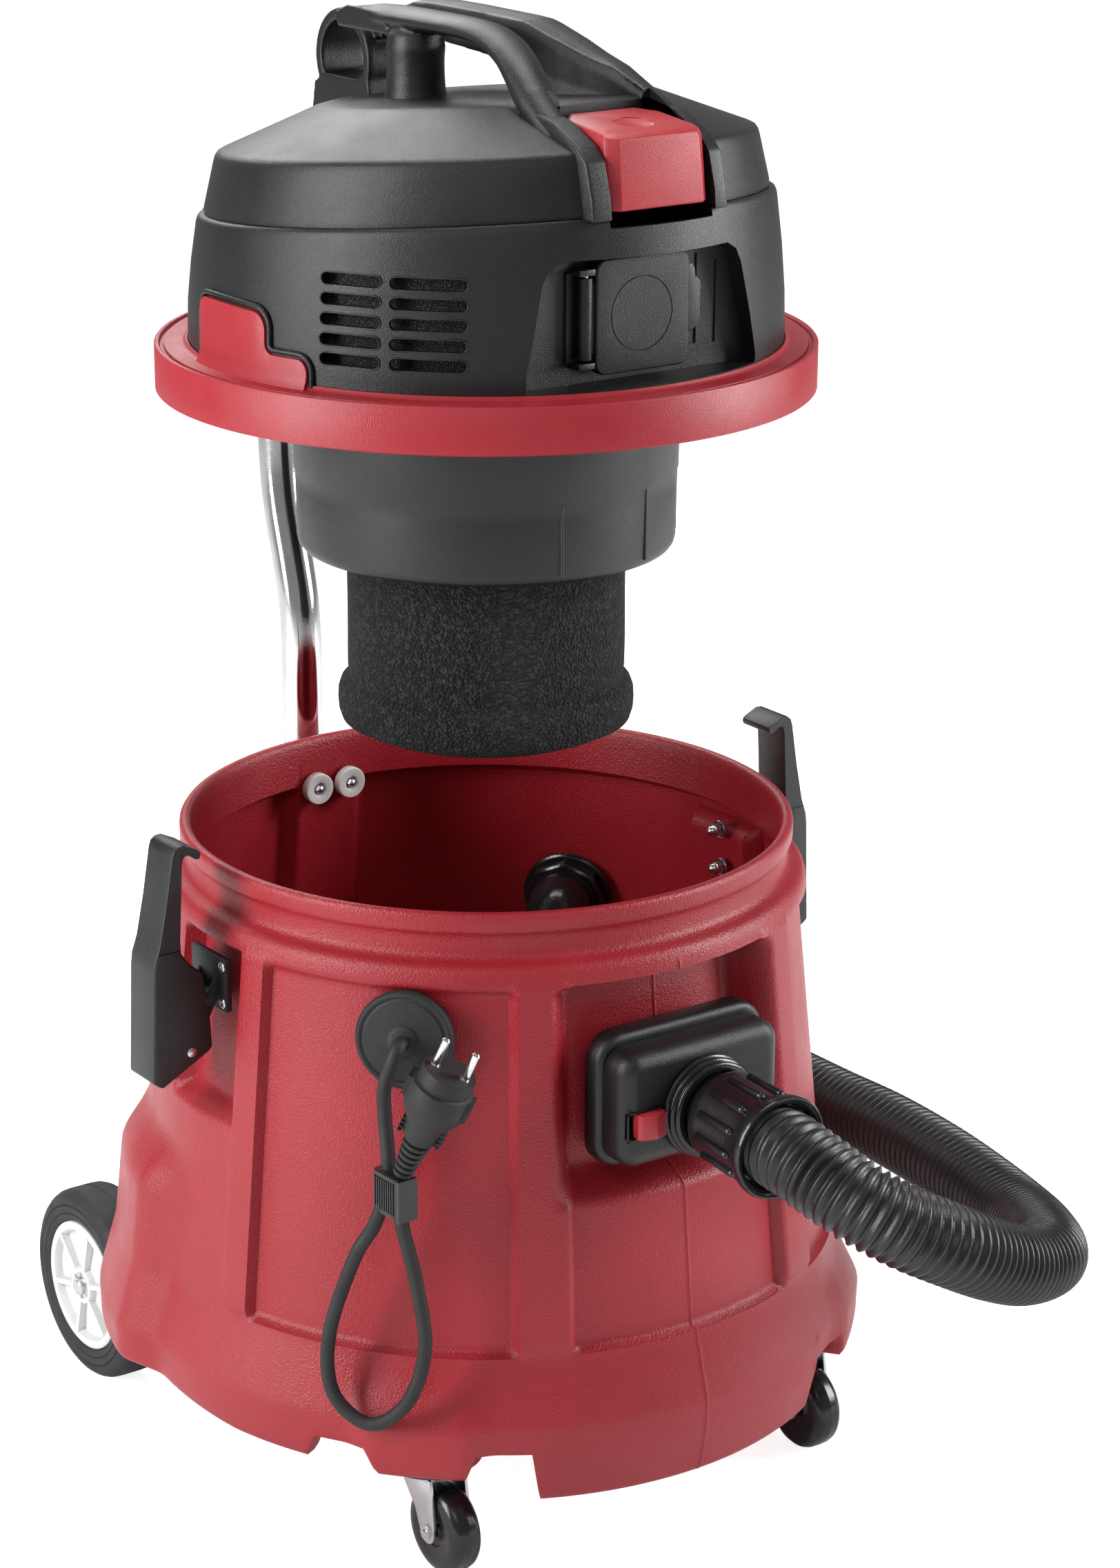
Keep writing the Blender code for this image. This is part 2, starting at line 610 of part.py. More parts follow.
def inlet(machine):
    floor_y = -(body_radius(INLET_Z - INLET_HEIGHT / 2) - INLET_RECESS_DEPTH + GAP)
    out = Matrix.Translation((0, floor_y, INLET_Z)) @ facing(0.0)
    plate = prism(rounded_outline(INLET_WIDTH, INLET_HEIGHT, 0.014), INLET_PLATE_DEPTH, out)
    node("inlet_backplate", plate, BLACK, machine)
    box_y = floor_y - INLET_PLATE_DEPTH - GAP
    out = Matrix.Translation((0, box_y, INLET_Z)) @ facing(0.0)
    body = prism(rounded_outline(INLET_BOX_WIDTH, INLET_BOX_HEIGHT, 0.012), INLET_BOX_DEPTH, out)
    housing = node("inlet_housing", body, BLACK, machine)
    face_y = box_y - INLET_BOX_DEPTH
    window = box((SLIDER_WIDTH + SLIDER_TRAVEL + 5 * RUNNING_GAP, 0.016, SLIDER_HEIGHT + 2 * RUNNING_GAP),
                 (SLIDER_X - SLIDER_TRAVEL / 2, face_y, SLIDER_Z))
    boolean(housing, node("slider_window_tool", window, None, machine))
    knob = box((SLIDER_WIDTH, 0.0115, SLIDER_HEIGHT), (0, 0, 0), 0.001)
    node("inlet_slider", knob, RED_ABS, machine, (SLIDER_X, face_y - 0.0015, SLIDER_Z))
    ring = [(COLLAR_BORE, 0), (COLLAR_RADIUS, 0), (COLLAR_RADIUS, 0.004), (COLLAR_RADIUS - 0.002, 0.006),
            (COLLAR_RADIUS - 0.0005, 0.008), (COLLAR_RADIUS - 0.0015, COLLAR_LENGTH), (COLLAR_BORE, COLLAR_LENGTH)]
    turn = Matrix.Translation((INLET_PORT_X, face_y - GAP, INLET_PORT_Z)) @ facing(0.0)
    node("inlet_collar", place(turned(ring, 24), turn), BLACK, machine)
    return Vector((INLET_PORT_X, face_y - GAP - COLLAR_LENGTH, INLET_PORT_Z))


def latch(machine, side, name):
    """One latch: a bracket on the tank, its pin, and the lever that swings on the pin."""
    floor_x = body_radius(LATCH_PIVOT_Z - 0.030) - LATCH_RECESS_DEPTH + GAP
    mirror = Matrix.Diagonal((side, 1, 1, 1))
    upright = Matrix.Rotation(math.radians(90), 4, "X")
    cheek_half = LATCH_WIDTH / 2 - 0.0036
    cheek = 0.003

    def slab(outline, low_y, high_y):
        """Extrude an (x, z) outline from low_y to high_y."""
        return prism(outline, high_y - low_y, mirror @ Matrix.Translation((0, high_y, 0)) @ upright)

    base_low, base_high = LATCH_PIVOT_Z + 0.022, TANK_SHOULDER_Z - 0.016
    base = box((0.005, LATCH_WIDTH + 0.010, base_high - base_low),
               (side * (floor_x + 0.0025), 0, (base_low + base_high) / 2), 0.0012)
    bracket = node(f"latch_bracket_{name}", base, BLACK, machine)
    eye = arc_points(LATCH_PIVOT_X, LATCH_PIVOT_Z, 0.0055, -140, 40, 6)
    arm = [(floor_x + 0.003, base_low + 0.010)] + eye + [(floor_x + 0.003, base_high - 0.016)]
    for k, sign in ((1, -1), (2, 1)):
        low = cheek_half - cheek if sign > 0 else -cheek_half
        boolean(bracket, node(f"latch_arm_tool_{name}_{k}", slab(arm, low, low + cheek), None, machine), "UNION")
    bore = rod((side * LATCH_PIVOT_X, -0.03, LATCH_PIVOT_Z), (side * LATCH_PIVOT_X, 0.03, LATCH_PIVOT_Z),
               LATCH_PIN_RADIUS + 0.0002, 16)
    boolean(bracket, node(f"latch_bore_tool_{name}", bore, None, machine))
    half = LATCH_WIDTH / 2 + 0.0008
    pin = rod((side * LATCH_PIVOT_X, -half, LATCH_PIVOT_Z), (side * LATCH_PIVOT_X, half, LATCH_PIVOT_Z),
              LATCH_PIN_RADIUS, 16)
    node(f"latch_pin_{name}", pin, ZINC, machine)

    # lever, drawn about its pivot: u runs outwards, v up
    hook = LATCH_ARM
    outline = [(0.020, -0.0196), (0.0265, -0.0150), (0.0235, 0.0584), (0.0190, 0.0710),
               (0.0090, hook + 0.0060), (0.0060, hook + 0.0105), (0.0010, hook + 0.0110), (-0.0085, hook + 0.0060),
               (-0.0105, hook + 0.0030), (-0.0095, hook), (-0.0070, hook + 0.0005), (-0.0020, hook + 0.0040),
               (0.0015, hook + 0.0035), (0.0025, hook - 0.0020), (0.0055, 0.0676), (-0.0102, 0.0480),
               (-0.0149, 0.0006), (-0.0130, -0.0020)]
    holder = empty(f"latch_axis_{name}", (side * LATCH_PIVOT_X, 0, LATCH_PIVOT_Z), machine)
    body = slab(outline, -LATCH_WIDTH / 2, LATCH_WIDTH / 2)
    lever = node(f"latch_lever_{name}", body, BLACK, holder)
    pocket = [(-0.030, -0.030), (0.0170, -0.0160), (0.0225, -0.0120), (0.0195, 0.0540), (0.0060, 0.0560),
              (-0.030, 0.060)]
    inside = cheek_half + 0.0006
    boolean(lever, node(f"latch_pocket_tool_{name}", slab(pocket, -inside, inside), None, holder))
    hole = rod((0, -0.03, 0), (0, 0.03, 0), LATCH_PIN_RADIUS + 0.0002, 16)
    boolean(lever, node(f"latch_hole_tool_{name}", hole, None, holder))


def push_handle(machine):
    lower = [(0, HANDLE_Y, HANDLE_FOOT_Z), (0, HANDLE_Y, HANDLE_FOOT_Z + 0.06), (0, HANDLE_Y, HANDLE_KINK_Z - 0.03)]
    kink = [(0, HANDLE_Y + HANDLE_LEAN * s, HANDLE_KINK_Z + 0.09 * t)
            for s, t in ((0.0, -0.1), (0.12, 0.15), (0.4, 0.45), (0.72, 0.75), (0.9, 1.0))]
    top = [(0, HANDLE_Y + HANDLE_LEAN, HANDLE_KINK_Z + 0.13), (0, HANDLE_Y + HANDLE_LEAN + 0.008, HANDLE_TOP_Z)]
    node("push_handle_tube", swept(lower + kink + top, (HANDLE_RADIUS, HANDLE_RADIUS), 12, bore=0.88),
         CHROME, machine)
    grip_y = HANDLE_Y + HANDLE_LEAN + 0.008
    grip = rod((-GRIP_LENGTH / 2, grip_y, HANDLE_TOP_Z + GRIP_RADIUS + GAP),
               (GRIP_LENGTH / 2, grip_y, HANDLE_TOP_Z + GRIP_RADIUS + GAP), GRIP_RADIUS, 20)
    node("push_handle_grip", grip, RUBBER, machine)
    wall_y = body_radius(CLAMP_Z) - CHANNEL_DEPTH
    block = box((CLAMP_WIDTH, HANDLE_Y + 0.004 - wall_y - 0.0035, CLAMP_HEIGHT),
                (0, (HANDLE_Y + 0.004 + wall_y + 0.0035) / 2, CLAMP_Z), 0.002)
    clamp = node("handle_clamp", block, BLACK, machine)
    seat = rod((0, HANDLE_Y, CLAMP_Z - 0.06), (0, HANDLE_Y, CLAMP_Z + 0.06), HANDLE_RADIUS + GAP, 20)
    boolean(clamp, node("clamp_seat_tool", seat, None, machine))
    inner_y = TANK_NECK_RADIUS - TANK_WALL - 0.0022
    for name, x in (("left", -SPACER_SPACING / 2), ("right", SPACER_SPACING / 2)):
        washer = rod((x, inner_y, SPACER_Z), (x, inner_y - SPACER_THICKNESS, SPACER_Z), SPACER_RADIUS, 20)
        node(f"clamp_spacer_{name}", washer, WHITE, machine)


def rear_wheels(machine):
    inner_x = WHEEL_OUTER_X - WHEEL_WIDTH
    axle = turned([(0, -WHEEL_OUTER_X - 0.002), (AXLE_RADIUS, -WHEEL_OUTER_X - 0.002),
                   (AXLE_RADIUS, WHEEL_OUTER_X + 0.002), (0, WHEEL_OUTER_X + 0.002)], 16)
    turn = Matrix.Rotation(math.radians(90), 4, "Y")
    node("rear_axle", place(axle, Matrix.Translation((0, WHEEL_Y, WHEEL_RADIUS)) @ turn), ZINC, machine)
    for name, side in (("left", -1), ("right", 1)):
        spin = empty(f"rear_wheel_axis_{name}", (side * WHEEL_OUTER_X, WHEEL_Y, WHEEL_RADIUS), machine)
        inwards = Matrix.Rotation(math.radians(-90 * side), 4, "Y")
        w = WHEEL_WIDTH
        hub = [(AXLE_RADIUS + 0.0006, 0.001), (HUB_RADIUS - 0.006, 0.001), (HUB_RADIUS, 0.003),
               (HUB_RADIUS, w - 0.003), (HUB_RADIUS - 0.008, w - 0.001), (AXLE_RADIUS + 0.0006, w - 0.001)]
        node(f"rear_hub_{name}", place(turned(hub, 24), inwards), WHITE, spin)
        tyre = [(HUB_RADIUS + GAP, 0.003), (HUB_RADIUS + 0.008, 0.0005), (WHEEL_RADIUS - 0.006, 0.002),
                (WHEEL_RADIUS, 0.007), (WHEEL_RADIUS, w - 0.007), (WHEEL_RADIUS - 0.006, w - 0.002),
                (HUB_RADIUS + 0.008, w - 0.0005), (HUB_RADIUS + GAP, w - 0.003)]
        node(f"rear_tyre_{name}", place(turned(tyre, 28), inwards), RUBBER, spin)


def castors(machine):
    for name, side in (("left", -1), ("right", 1)):
        disc = [(0, CASTOR_POD_Z - 0.0045), (CASTOR_PLATE_RADIUS - 0.002, CASTOR_POD_Z - 0.0045),
                (CASTOR_PLATE_RADIUS, CASTOR_POD_Z - 0.003), (CASTOR_PLATE_RADIUS, CASTOR_POD_Z - GAP),
                (0, CASTOR_POD_Z - GAP)]
        node(f"castor_plate_{name}", turned(disc, 24), BLACK, machine, (side * CASTOR_X, CASTOR_Y, 0))
        swivel = empty(f"castor_axis_{name}", (side * CASTOR_X, CASTOR_Y, 0), machine)
        top_z = CASTOR_POD_Z - 0.0045 - RUNNING_GAP
        half = CASTOR_WIDTH / 2 + RUNNING_GAP
        cheek = 0.0018
        crown = box((2 * (half + cheek) + 0.0012, 0.039, 0.003), (0, -0.004, top_z - 0.0015))
        fork = node(f"castor_fork_{name}", crown, ZINC, swivel)
        outline = [(0.014, top_z - 0.0010), (-0.022, top_z - 0.0010)]
        outline += arc_points(-CASTOR_TRAIL, CASTOR_RADIUS, 0.0065, 180, 330, 5)
        upright = Matrix(((0, 0, 1, 0), (1, 0, 0, 0), (0, 1, 0, 0), (0, 0, 0, 1)))
        for k, x in ((1, -half - cheek), (2, half)):
            tool = prism(outline, cheek, Matrix.Translation((x, 0, 0)) @ upright)
            boolean(fork, node(f"fork_cheek_tool_{name}_{k}", tool, None, swivel), "UNION")
        bar = rod((-half - cheek - 0.0015, -CASTOR_TRAIL, CASTOR_RADIUS),
                  (half + cheek + 0.0015, -CASTOR_TRAIL, CASTOR_RADIUS), 0.0035, 14)
        boolean(fork, node(f"fork_axle_tool_{name}", bar, None, swivel), "UNION")
        spin = empty(f"castor_wheel_axis_{name}", (0, -CASTOR_TRAIL, CASTOR_RADIUS), swivel)
        w = CASTOR_WIDTH / 2
        roller = [(0.0045, -w + 0.002), (CASTOR_RADIUS - 0.010, -w), (CASTOR_RADIUS - 0.003, -w + 0.001),
                  (CASTOR_RADIUS, -w + 0.005), (CASTOR_RADIUS, w - 0.005), (CASTOR_RADIUS - 0.003, w - 0.001),
                  (CASTOR_RADIUS - 0.010, w), (0.0045, w - 0.002)]
        turn = Matrix.Rotation(math.radians(90), 4, "Y")
        node(f"castor_wheel_{name}", place(turned(roller, 20), turn), BLACK, spin)


def sump_pump(machine):
    """The dirty-water pump on the tank's floor, and its outlet through the back wall."""
    low = TANK_FLOOR_Z + 0.0006
    foot = [(0.030, low), (0.052, low), (0.056, low + 0.004), (0.056, low + 0.018), (0.030, low + 0.018)]
    centre = (*on_wall(PORT_ANGLE, 0.134)[:2], 0)
    node("pump_strainer", turned(foot, 20), BLACK, machine, centre)
    body = [(0.020, low + 0.019), (0.050, low + 0.019), (0.050, low + 0.036), (0.038, low + 0.042),
            (0.036, low + 0.074), (0.028, low + 0.080), (0, low + 0.080), (0, low + 0.070), (0.030, low + 0.066),
            (0.032, low + 0.034), (0.020, low + 0.030)]
    node("pump_housing", turned(body, 20), BLACK, machine, centre)
    spin = empty("impeller_axis", (*centre[:2], low + 0.040), machine)
    wheel = [(0, -0.026), (0.018, -0.026), (0.018, -0.006), (0.026, -0.002), (0.026, 0.010), (0.006, 0.012),
             (0.006, 0.020), (0, 0.020)]
    node("pump_impeller", turned(wheel, 20), COPPER, spin)
    inner_r = body_radius(PORT_Z) - TANK_WALL
    bore = PORT_RADIUS + 0.0018
    flange = [(bore, 0), (0.031, 0), (0.031, 0.004), (0.0265, 0.0045), (0.0265, 0.013), (bore, 0.013)]
    inwards = (Matrix.Translation(on_wall(PORT_ANGLE, inner_r - 0.0052, PORT_Z))
               @ facing(PORT_ANGLE + 180.0, -wall_tilt()))
    node("outlet_nut", place(turned(flange, 20), inwards), BLACK, machine)
    out = on_wall(PORT_ANGLE, 1.0)
    wall = on_wall(PORT_ANGLE, inner_r, PORT_Z)
    elbow = [wall + out * 0.0100, wall, wall - out * 0.020, wall - out * 0.034 + Vector((0, 0, -0.004)),
             wall - out * 0.044 + Vector((0, 0, -0.016)), wall - out * 0.048 + Vector((0, 0, -0.034)),
             wall - out * 0.048 + Vector((0, 0, -0.060))]
    node("outlet_elbow", swept(elbow, (PORT_RADIUS, PORT_RADIUS), 12, bore=0.84), BLACK, machine)
    foot_of_elbow = wall - out * 0.048 + Vector((0, 0, -0.060 - GAP))
    side_port = Vector((centre[0], centre[1], low + 0.084))
    hose = [foot_of_elbow, foot_of_elbow + Vector((0, 0, -0.020)), side_port.lerp(foot_of_elbow, 0.5),
            side_port + Vector((0, 0, 0.020)), side_port]
    node("pump_riser_hose", swept(smooth_route(hose, 0.012), (0.012, 0.012), 12), RUBBER, machine)


# ---------------------------------------------------------------- motor head

def lean(bm, base_z):
    """Raise the front of the upper housing and lower its back."""
    for v in bm.verts:
        share = max(0.0, min(1.0, (v.co.z - base_z) / HEAD_STEP_Z))
        v.co.z -= HEAD_SLOPE * v.co.y * share
    return bm


def ring_sector(inner, outer, low, high, centre_deg, half_deg, steps=8):
    """A closed block between two radii and two heights, about an angle from the front."""
    return turned([(inner, low), (outer, low), (outer, high), (inner, high)], steps,
                  2 * half_deg, centre_deg - half_deg - 90.0)


def head_base(head):
    top, low = RING_TOP_Z, RING_BOTTOM_Z
    profile = [(HEAD_RING_INNER, low), (HEAD_RING_RADIUS, low), (HEAD_RING_RADIUS, top),
               (HEAD_RING_RADIUS - 0.003, top), (HEAD_RING_RADIUS - 0.0035, top - 0.0025),
               (HEAD_SHELL_RADIUS + 0.003, top - 0.0025), (HEAD_SHELL_RADIUS + 0.002, top + 0.002),
               (HEAD_SHELL_RADIUS + 0.0006, top + 0.002), (HEAD_SHELL_RADIUS + 0.0006, top - 0.0015),
               (POT_RADIUS - 0.012, top - 0.0015), (POT_RADIUS - 0.012, top - 0.005),
               (HEAD_RING_INNER - 0.014, top - 0.005), (HEAD_RING_INNER, top - 0.005)]
    ring = node("head_base", turned(profile, 48), RED, head)
    for k, side in ((1, -90.0), (2, 90.0)):
        lug = ring_sector(HEAD_SHELL_RADIUS - 0.006, HEAD_SHELL_RADIUS + 0.0022, top - 0.0045, top + LUG_HEIGHT,
                          side, LUG_HALF_ANGLE)
        boolean(ring, node(f"lug_tool_{k}", lug, None, head), "UNION")
    seal = [(HEAD_RING_INNER - 0.013, top - 0.0053), (HEAD_RING_INNER - 0.0015, top - 0.0053),
            (HEAD_RING_INNER - 0.0015, top - SEAL_LOW), (HEAD_RING_INNER - 0.013, top - SEAL_LOW)]
    node("rim_seal", turned(list(reversed(seal)), 36), RUBBER, head)


def lower_shell(head):
    base, wall = RING_TOP_Z - 0.0015 + GAP, HEAD_SHELL_WALL
    step = RING_TOP_Z + HEAD_STEP_Z
    profile = [(HEAD_SHELL_RADIUS - wall, base), (HEAD_SHELL_RADIUS, base), (HEAD_SHELL_RADIUS - 0.003, step - 0.030),
               (HEAD_STEP_RADIUS, step - 0.002), (HEAD_STEP_RADIUS - 0.002, step), (HEAD_UPPER_RADIUS - 0.008, step),
               (HEAD_UPPER_RADIUS - 0.008, step - wall), (HEAD_STEP_RADIUS - wall, step - wall - 0.002),
               (HEAD_SHELL_RADIUS - 0.003 - wall, step - 0.032)]
    shell = node("head_lower_shell", lean(turned(profile, 48), RING_TOP_Z), BLACK, head)
    slots = bmesh.new()
    pieces = []
    for row in range(VENT_ROWS):
        for centre, length in VENT_COLUMNS:
            z = RING_TOP_Z + VENT_LOW + VENT_PITCH * row
            out = Matrix.Translation(on_wall(centre, HEAD_SHELL_RADIUS - 0.025, z)) @ facing(centre)
            pieces.append(prism(stadium(length, VENT_SLOT), 0.04, out))
    mesh = bpy.data.meshes.new("slots")
    for piece in pieces:
        piece.to_mesh(mesh)
        slots.from_mesh(mesh)
        piece.free()
    boolean(shell, node("vent_tool", slots, None, head))
    window = box((2 * SOCKET_HALF_WIDTH, 0.060, SOCKET_HEIGHT),
                 (0, -HEAD_SHELL_RADIUS + 0.005, RING_TOP_Z + SOCKET_BOTTOM + SOCKET_HEIGHT / 2), 0.008, 2)
    boolean(shell, node("socket_window_tool", window, None, head))
    for k, side in ((1, -90.0), (2, 90.0)):
        notch = ring_sector(HEAD_SHELL_RADIUS - 0.012, HEAD_SHELL_RADIUS + 0.010, RING_TOP_Z - 0.010,
                            RING_TOP_Z + LUG_HEIGHT + 0.0015, side, LUG_HALF_ANGLE + 0.7)
        boolean(shell, node(f"notch_tool_{k}", notch, None, head))
    pad = ring_sector(HEAD_SHELL_RADIUS - 0.020, HEAD_SHELL_RADIUS - 0.0105, RING_TOP_Z + VENT_LOW - 0.008,
                      RING_TOP_Z + VENT_LOW + VENT_PITCH * (VENT_ROWS - 1) + 0.008, -52.0, 20.0, 12)
    node("vent_foam", pad, FOAM, head)


def spine_panel(low, grow):
    """The raised centre panel that carries the button."""
    front = BUTTON_FRONT_Y
    side_view = [(front - 0.0015 - grow, low), (front + 0.006 - grow, low + 0.030), (front + 0.020, low + 0.040 + grow),
                 (front + 0.075, low + 0.048 + grow), (front + 0.085, low + 0.030), (front + 0.030, low)]
    turn = Matrix(((0, 0, 1, 0), (1, 0, 0, 0), (0, 1, 0, 0), (0, 0, 0, 1)))
    return prism(side_view, SPINE_WIDTH + 2 * grow, Matrix.Translation((-SPINE_WIDTH / 2 - grow, 0, 0)) @ turn)


def trim_to_housing(obj, head, label):
    """Cut a piece that stands on the upper housing to the housing's surface."""
    step, crease, top = (RING_TOP_Z + h for h in (HEAD_STEP_Z + GAP, HEAD_CREASE_Z, HEAD_TOP_Z))
    profile = [(0, step - 0.020), (HEAD_UPPER_RADIUS, step - 0.020), (HEAD_UPPER_RADIUS + GAP, step),
               (HEAD_CREASE_RADIUS + 0.002, crease - 0.003), (HEAD_CREASE_RADIUS - 0.0017, crease + GAP),
               (HEAD_TOP_RADIUS, top + GAP), (0, top + 1.2 * GAP)]
    boolean(obj, node(f"housing_tool_{label}", lean(turned(profile, 48), RING_TOP_Z), None, head))
    low = step + HEAD_SLOPE * HEAD_STEP_RADIUS + 0.003
    boolean(obj, node(f"panel_tool_{label}", spine_panel(low, GAP), None, head))


def upper_shell(head):
    wall = HEAD_SHELL_WALL
    step, crease, top = (RING_TOP_Z + h for h in (HEAD_STEP_Z + GAP, HEAD_CREASE_Z, HEAD_TOP_Z))
    profile = [(HEAD_UPPER_RADIUS - wall, step), (HEAD_UPPER_RADIUS, step), (HEAD_CREASE_RADIUS + 0.0015, crease - 0.003),
               (HEAD_CREASE_RADIUS - 0.002, crease), (HEAD_TOP_RADIUS, top - 0.001), (HEAD_TOP_RADIUS - 0.006, top),
               (0, top), (0, top - wall), (HEAD_TOP_RADIUS - 0.004, top - wall), (HEAD_CREASE_RADIUS - wall - 0.001, crease - wall)]
    shell = node("head_upper_shell", lean(turned(profile, 48), RING_TOP_Z), BLACK, head)
    front = BUTTON_FRONT_Y
    low = step + HEAD_SLOPE * HEAD_STEP_RADIUS + 0.003
    boolean(shell, node("spine_tool", spine_panel(low, 0.0), None, head), "UNION")
    bay = box((BUTTON_WIDTH + 2 * RUNNING_GAP, BUTTON_DEPTH + 0.030, BUTTON_HEIGHT + 0.030),
              (0, front - 0.015 + BUTTON_DEPTH / 2 + RUNNING_GAP,
               low + 0.0055 + (BUTTON_HEIGHT + 0.030) / 2 - BUTTON_TRAVEL))
    boolean(shell, node("button_bay_tool", bay, None, head))
    button_z = low + 0.0070
    half_w, depth, tall = BUTTON_WIDTH / 2, BUTTON_DEPTH, BUTTON_HEIGHT - 0.012
    cap = bmesh.new()
    ring_low = [cap.verts.new(c) for c in ((-half_w + 0.003, 0, 0), (half_w - 0.003, 0, 0), (half_w - 0.003, depth - 0.002, 0),
                                           (-half_w + 0.003, depth - 0.002, 0))]
    ring_high = [cap.verts.new(c) for c in ((-half_w + 0.001, 0.0035, tall - 0.004), (half_w - 0.001, 0.0035, tall - 0.004),
                                            (half_w - 0.004, depth - 0.002, tall + 0.008),
                                            (-half_w + 0.004, depth - 0.002, tall + 0.008))]
    cap.faces.new(list(reversed(ring_low)))
    cap.faces.new(ring_high)
    for i in range(4):
        j = (i + 1) % 4
        cap.faces.new((ring_low[i], ring_low[j], ring_high[j], ring_high[i]))
    bmesh.ops.bevel(cap, geom=list(cap.edges), offset=0.003, segments=2, affect="EDGES", profile=0.5)
    holder = empty("button_axis", (0, front, button_z), head)
    node("switch_button", cap, RED_ABS, holder)
    block = box((0.030, 0.030, 0.016), (0, front + 0.045, RING_TOP_Z + HEAD_STEP_Z - 0.006), 0.001)
    node("switch_block", block, BLACK, head)
    return top


def carry_handle(head, top):
    """The handle along the left of the trough, and the fairing along its right."""
    left = -0.024

    def on_top(x, y, up):
        return (x, y, top - HEAD_SLOPE * y + up)

    route = [on_top(left, 0.046, -0.004), on_top(left, 0.046, 0.018), on_top(left, 0.040, 0.034),
             on_top(left, 0.020, 0.0425), on_top(left, -0.006, 0.0405), on_top(left - 0.002, -0.036, 0.033),
             on_top(left - 0.005, -0.064, 0.018), on_top(left - 0.010, -0.088, 0.001),
             on_top(left - 0.011, -0.094, -0.004)]
    sizes = [(0.0175, 0.0175), (0.0165, 0.0165), (0.0160, 0.0150), (0.0155, 0.0120), (0.0150, 0.0105),
             (0.0140, 0.0105), (0.0130, 0.0110), (0.0125, 0.0120), (0.0125, 0.0120)]
    handle = node("carry_handle", swept(route, sizes, 16), BLACK, head)
    trim_to_housing(handle, head, "handle")
    yz = Matrix(((0, 0, 1, 0), (1, 0, 0, 0), (0, 1, 0, 0), (0, 0, 0, 1)))
    outline = [(p[1], p[2]) for p in (on_top(0, -0.100, -0.010), on_top(0, -0.086, 0.006), on_top(0, -0.030, 0.036),
                                      on_top(0, 0.020, 0.049), on_top(0, 0.055, 0.052), on_top(0, 0.062, 0.046),
                                      on_top(0, 0.050, -0.004))]
    fairing = node("hose_rest", prism(outline, 0.030, Matrix.Translation((0.022, 0, 0)) @ yz), BLACK, head)
    trim_to_housing(fairing, head, "rest")


def socket(head):
    bottom = RING_TOP_Z + SOCKET_BOTTOM + 0.0015
    tall = SOCKET_HEIGHT - 0.003
    face = SOCKET_FACE_Y
    plate = box((2 * SOCKET_HALF_WIDTH - 0.010, 0.005, tall - 0.002), (0, face + 0.0025, bottom + tall / 2), 0.001)
    panel = node("socket_plate", plate, BLACK, head)
    lid_mid_x = LID_HINGE_X + 0.006 + LID_WIDTH / 2
    lid_z = bottom + LID_BOTTOM + LID_HEIGHT / 2 - 0.002
    well = rod((lid_mid_x, face - 0.02, lid_z), (lid_mid_x, face + 0.0035, lid_z), 0.0195, 24)
    boolean(panel, node("socket_well_tool", well, None, head))
    pin_y = face - 0.0062
    pin = rod((LID_HINGE_X, pin_y, lid_z - 0.024), (LID_HINGE_X, pin_y, lid_z + 0.024), LID_PIN_RADIUS, 12)
    node("lid_pin", pin, ZINC, head)
    for k, z in ((1, lid_z - 0.0215), (2, lid_z + 0.0215)):
        ear = box((0.009, 0.0098, 0.004), (LID_HINGE_X, face - 0.0041, z))
        boolean(panel, node(f"hinge_ear_tool_{k}", ear, None, head), "UNION")
    hole = rod((LID_HINGE_X, pin_y, lid_z - 0.05), (LID_HINGE_X, pin_y, lid_z + 0.05), LID_PIN_RADIUS + 0.0002, 12)
    boolean(panel, node("hinge_hole_tool", hole, None, head))
    holder = empty("lid_axis", (LID_HINGE_X, pin_y, lid_z), head)
    flap = prism(rounded_outline(LID_WIDTH, LID_HEIGHT, 0.007), LID_THICKNESS,
                 Matrix.Translation((0.006 + LID_WIDTH / 2, -0.0006 + LID_THICKNESS / 2, 0)) @ facing(0.0))
    lid = node("socket_lid", flap, BLACK, holder)
    barrel = rod((0, 0, -0.0185), (0, 0, 0.0185), 0.0036, 16)
    boolean(lid, node("lid_barrel_tool", barrel, None, holder), "UNION")
    neck = box((0.010, 0.003, 0.037), (0.005, -0.0006, 0))
    boolean(lid, node("lid_neck_tool", neck, None, holder), "UNION")
    bore = rod((0, 0, -0.03), (0, 0, 0.03), LID_PIN_RADIUS + 0.0002, 12)
    boolean(lid, node("lid_bore_tool", bore, None, holder))


